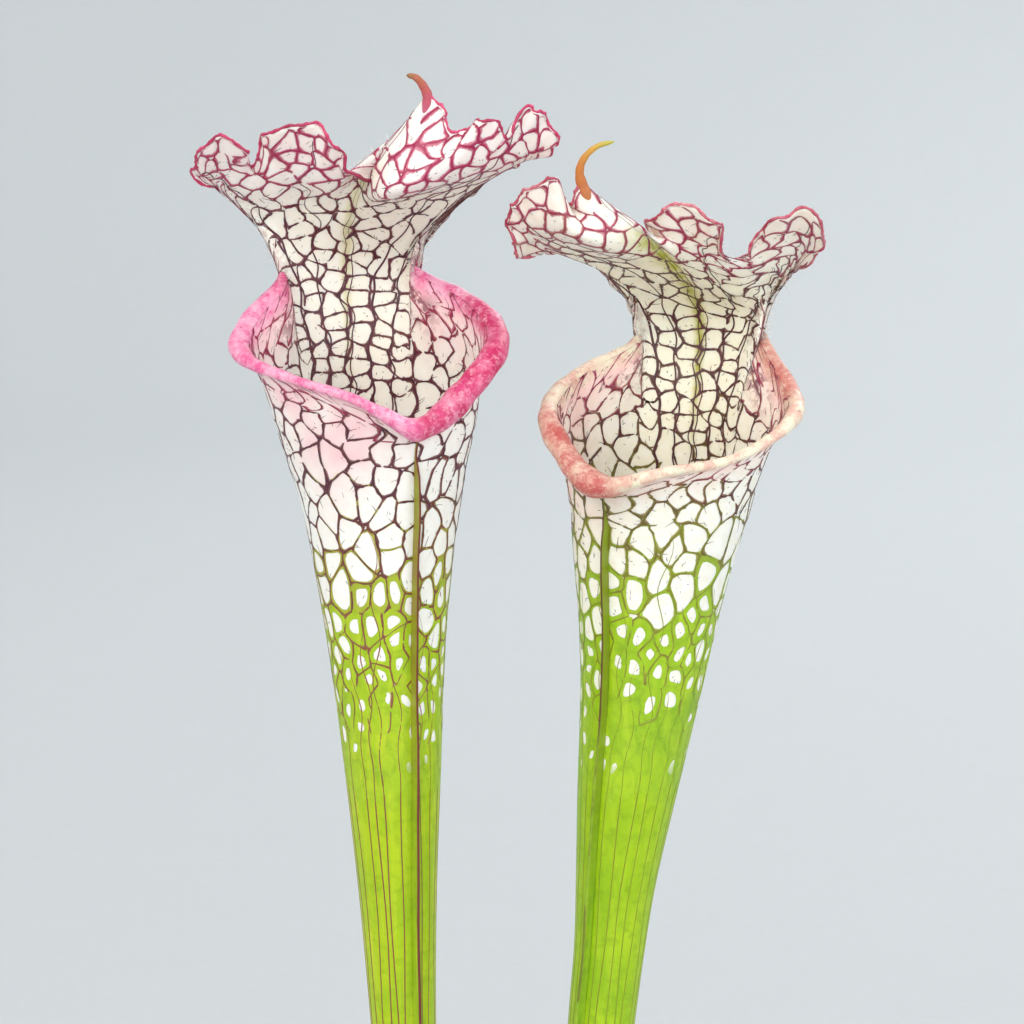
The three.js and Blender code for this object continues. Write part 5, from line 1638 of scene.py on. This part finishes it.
# Pine bark bits have flat split faces in warm browns; the creeping stem has a darker, ringed bark.
CHIPS = grain_paint("pine_bark_bits", ("#6A4028", "#8A5A38", "#4A2C1C"), 1.4, 0.85, 0.2)
BARK = grain_paint("creeping_stem_bark", ("#5A3423", "#7A4B33", "#8E5E40"), 1.8, 0.8, 0.25)
# Moss leaves are one cell thick: bright where the light comes through them.
MOSS_PAINT = grain_paint("cushion_moss", ("#5C7A1E", "#86A02C", "#3F5A18"), 1.3, 0.6, 0.05,
                         Subsurface_Weight=0.25, Subsurface_Scale=0.0006)
# Dried scale leaves are like brown paper: thin, matte and paler at their tips.
SCALE_PAINT = grain_paint("dried_scale_leaves", ("#A87C50", "#C6A070", "#8A5A38"), 1.2, 0.7, 0.08)
CRUMB_COUNT = 5200
PERLITE_COUNT = 150
CHIP_COUNT = 160

peat_random = np.random.default_rng(5)
add_piece("soil_bed", "soil", PEAT_WITH_HOLLOW_SHADE, soil_shape(peat_random))
spots = soil_spots(CRUMB_COUNT, peat_random) + [0, 0, 0.2]
sizes = peat_random.gamma(2.0, 0.28, CRUMB_COUNT) + 0.3
add_piece("soil_crumbs", "soil", CRUMB, lumps(spots, sizes, peat_random))
spots = soil_spots(PERLITE_COUNT, peat_random, 1.0) + [0, 0, 0.5]
sizes = np.clip(peat_random.gamma(3.0, 0.36, PERLITE_COUNT), 0.5, 2.3)
add_piece("soil_perlite", "soil", PERLITE, lumps(spots, sizes, peat_random, 0.9))
spots = soil_spots(CHIP_COUNT, peat_random, 2.0) + [0, 0, 0.7]
sizes = peat_random.uniform(1.0, 2.2, CHIP_COUNT)
add_piece("soil_bark", "soil", CHIPS, lumps(spots, sizes, peat_random, 0.4, 1.45))
add_piece("soil_moss", "soil", MOSS_PAINT, moss(peat_random))
add_piece("rhizome_body", "rhizome", BARK, rhizome_shape())
for plant, side in ((LEFT, "left"), (RIGHT, "right")):
    add_piece("rhizome_scales_" + side, "rhizome", SCALE_PAINT, leaf_scales(plant, peat_random))

# Camera: the photograph's frame, looking down 12 degrees at the middle of the picture.
eye = bpy.data.cameras.new("camera")
eye.lens = 100
eye.sensor_width = 36
eye.clip_end = 50
camera = bpy.data.objects.new("camera", eye)
camera.location = (0, -0.58395, 0.45412)
camera.rotation_euler = (np.radians(78), 0, 0)
bpy.context.scene.collection.objects.link(camera)
bpy.context.scene.camera = camera

# Stage: a pale round floor whose edge curves up into a wall, so no edge of it shows from any side.
FLOOR_RADIUS = 1900
COVE_WIDTH = 900
WALL_TOP = 2600
STAGE_SIDES = 96
cove = np.linspace(0, np.pi / 2, 14)
curve = np.stack([FLOOR_RADIUS + COVE_WIDTH * np.sin(cove), COVE_WIDTH - COVE_WIDTH * np.cos(cove)], -1)
wall = [[FLOOR_RADIUS + COVE_WIDTH, WALL_TOP]]
stage_rings = turned(np.concatenate([[[0.5, 0], [300, 0], [1000, 0]], curve, wall]), STAGE_SIDES)
ring = np.arange(STAGE_SIDES)
hub = np.stack([np.full(STAGE_SIDES, stage_rings.size // 3), ring, (ring + 1) % STAGE_SIDES], -1)
stage_points = np.concatenate([stage_rings.reshape(-1, 3), [[0, 0, 0]]])
# Matte background paper: no gloss at all, with a faint grain.
PAPER = grain_paint("matte_studio_paper", ("#BABEC0", "#B9BDBF", "#BABEC0"), 6.0, 0.9, 0.02)
backdrop = make_mesh("backdrop", stage_points, [grid_faces(len(stage_rings), STAGE_SIDES)[:, ::-1], hub])
backdrop.data.materials.append(PAPER)


def add_light(name, place, target, size, watts, colour):
    """A square softbox that looks from its place at a target."""
    lamp = bpy.data.lights.new(name, "AREA")
    lamp.size = size
    lamp.energy = watts
    lamp.color = linear(colour)[:3]
    thing = bpy.data.objects.new(name, lamp)
    thing.location = place
    thing.rotation_euler = (Vector(target) - Vector(place)).to_track_quat("-Z", "Y").to_euler()
    bpy.context.scene.collection.objects.link(thing)


LEAVES_MIDDLE = (0, 0, 0.3)
add_light("key_light", (-1.4, -2.05, 2.1), LEAVES_MIDDLE, 1.4, 50, "#FFFAF2")
add_light("fill_light", (2.05, -1.3, 1.15), LEAVES_MIDDLE, 1.6, 24, "#F4F8FF")
add_light("low_fill_light", (-0.1, -2.35, 0.75), LEAVES_MIDDLE, 1.2, 13, "#FFFCF6")
add_light("rim_light", (0.9, 2.1, 1.6), LEAVES_MIDDLE, 1.2, 22, "#FFFFFF")
for angle in (90, 210, 330):
    across, back = np.cos(np.radians(angle)), np.sin(np.radians(angle))
    add_light("wall_light_%d" % angle, (1.0 * across, 1.0 * back, 2.7), (2.6 * across, 2.6 * back, 1.2),
              1.2, 22, "#FFFFFF")
bpy.context.scene.view_settings.view_transform = "Standard"
world = bpy.data.worlds.new("studio")
world.use_nodes = True
sky = world.node_tree.nodes["Background"].inputs
sky["Color"].default_value = linear("#E8ECEF")
sky["Strength"].default_value = 0.55
bpy.context.scene.world = world
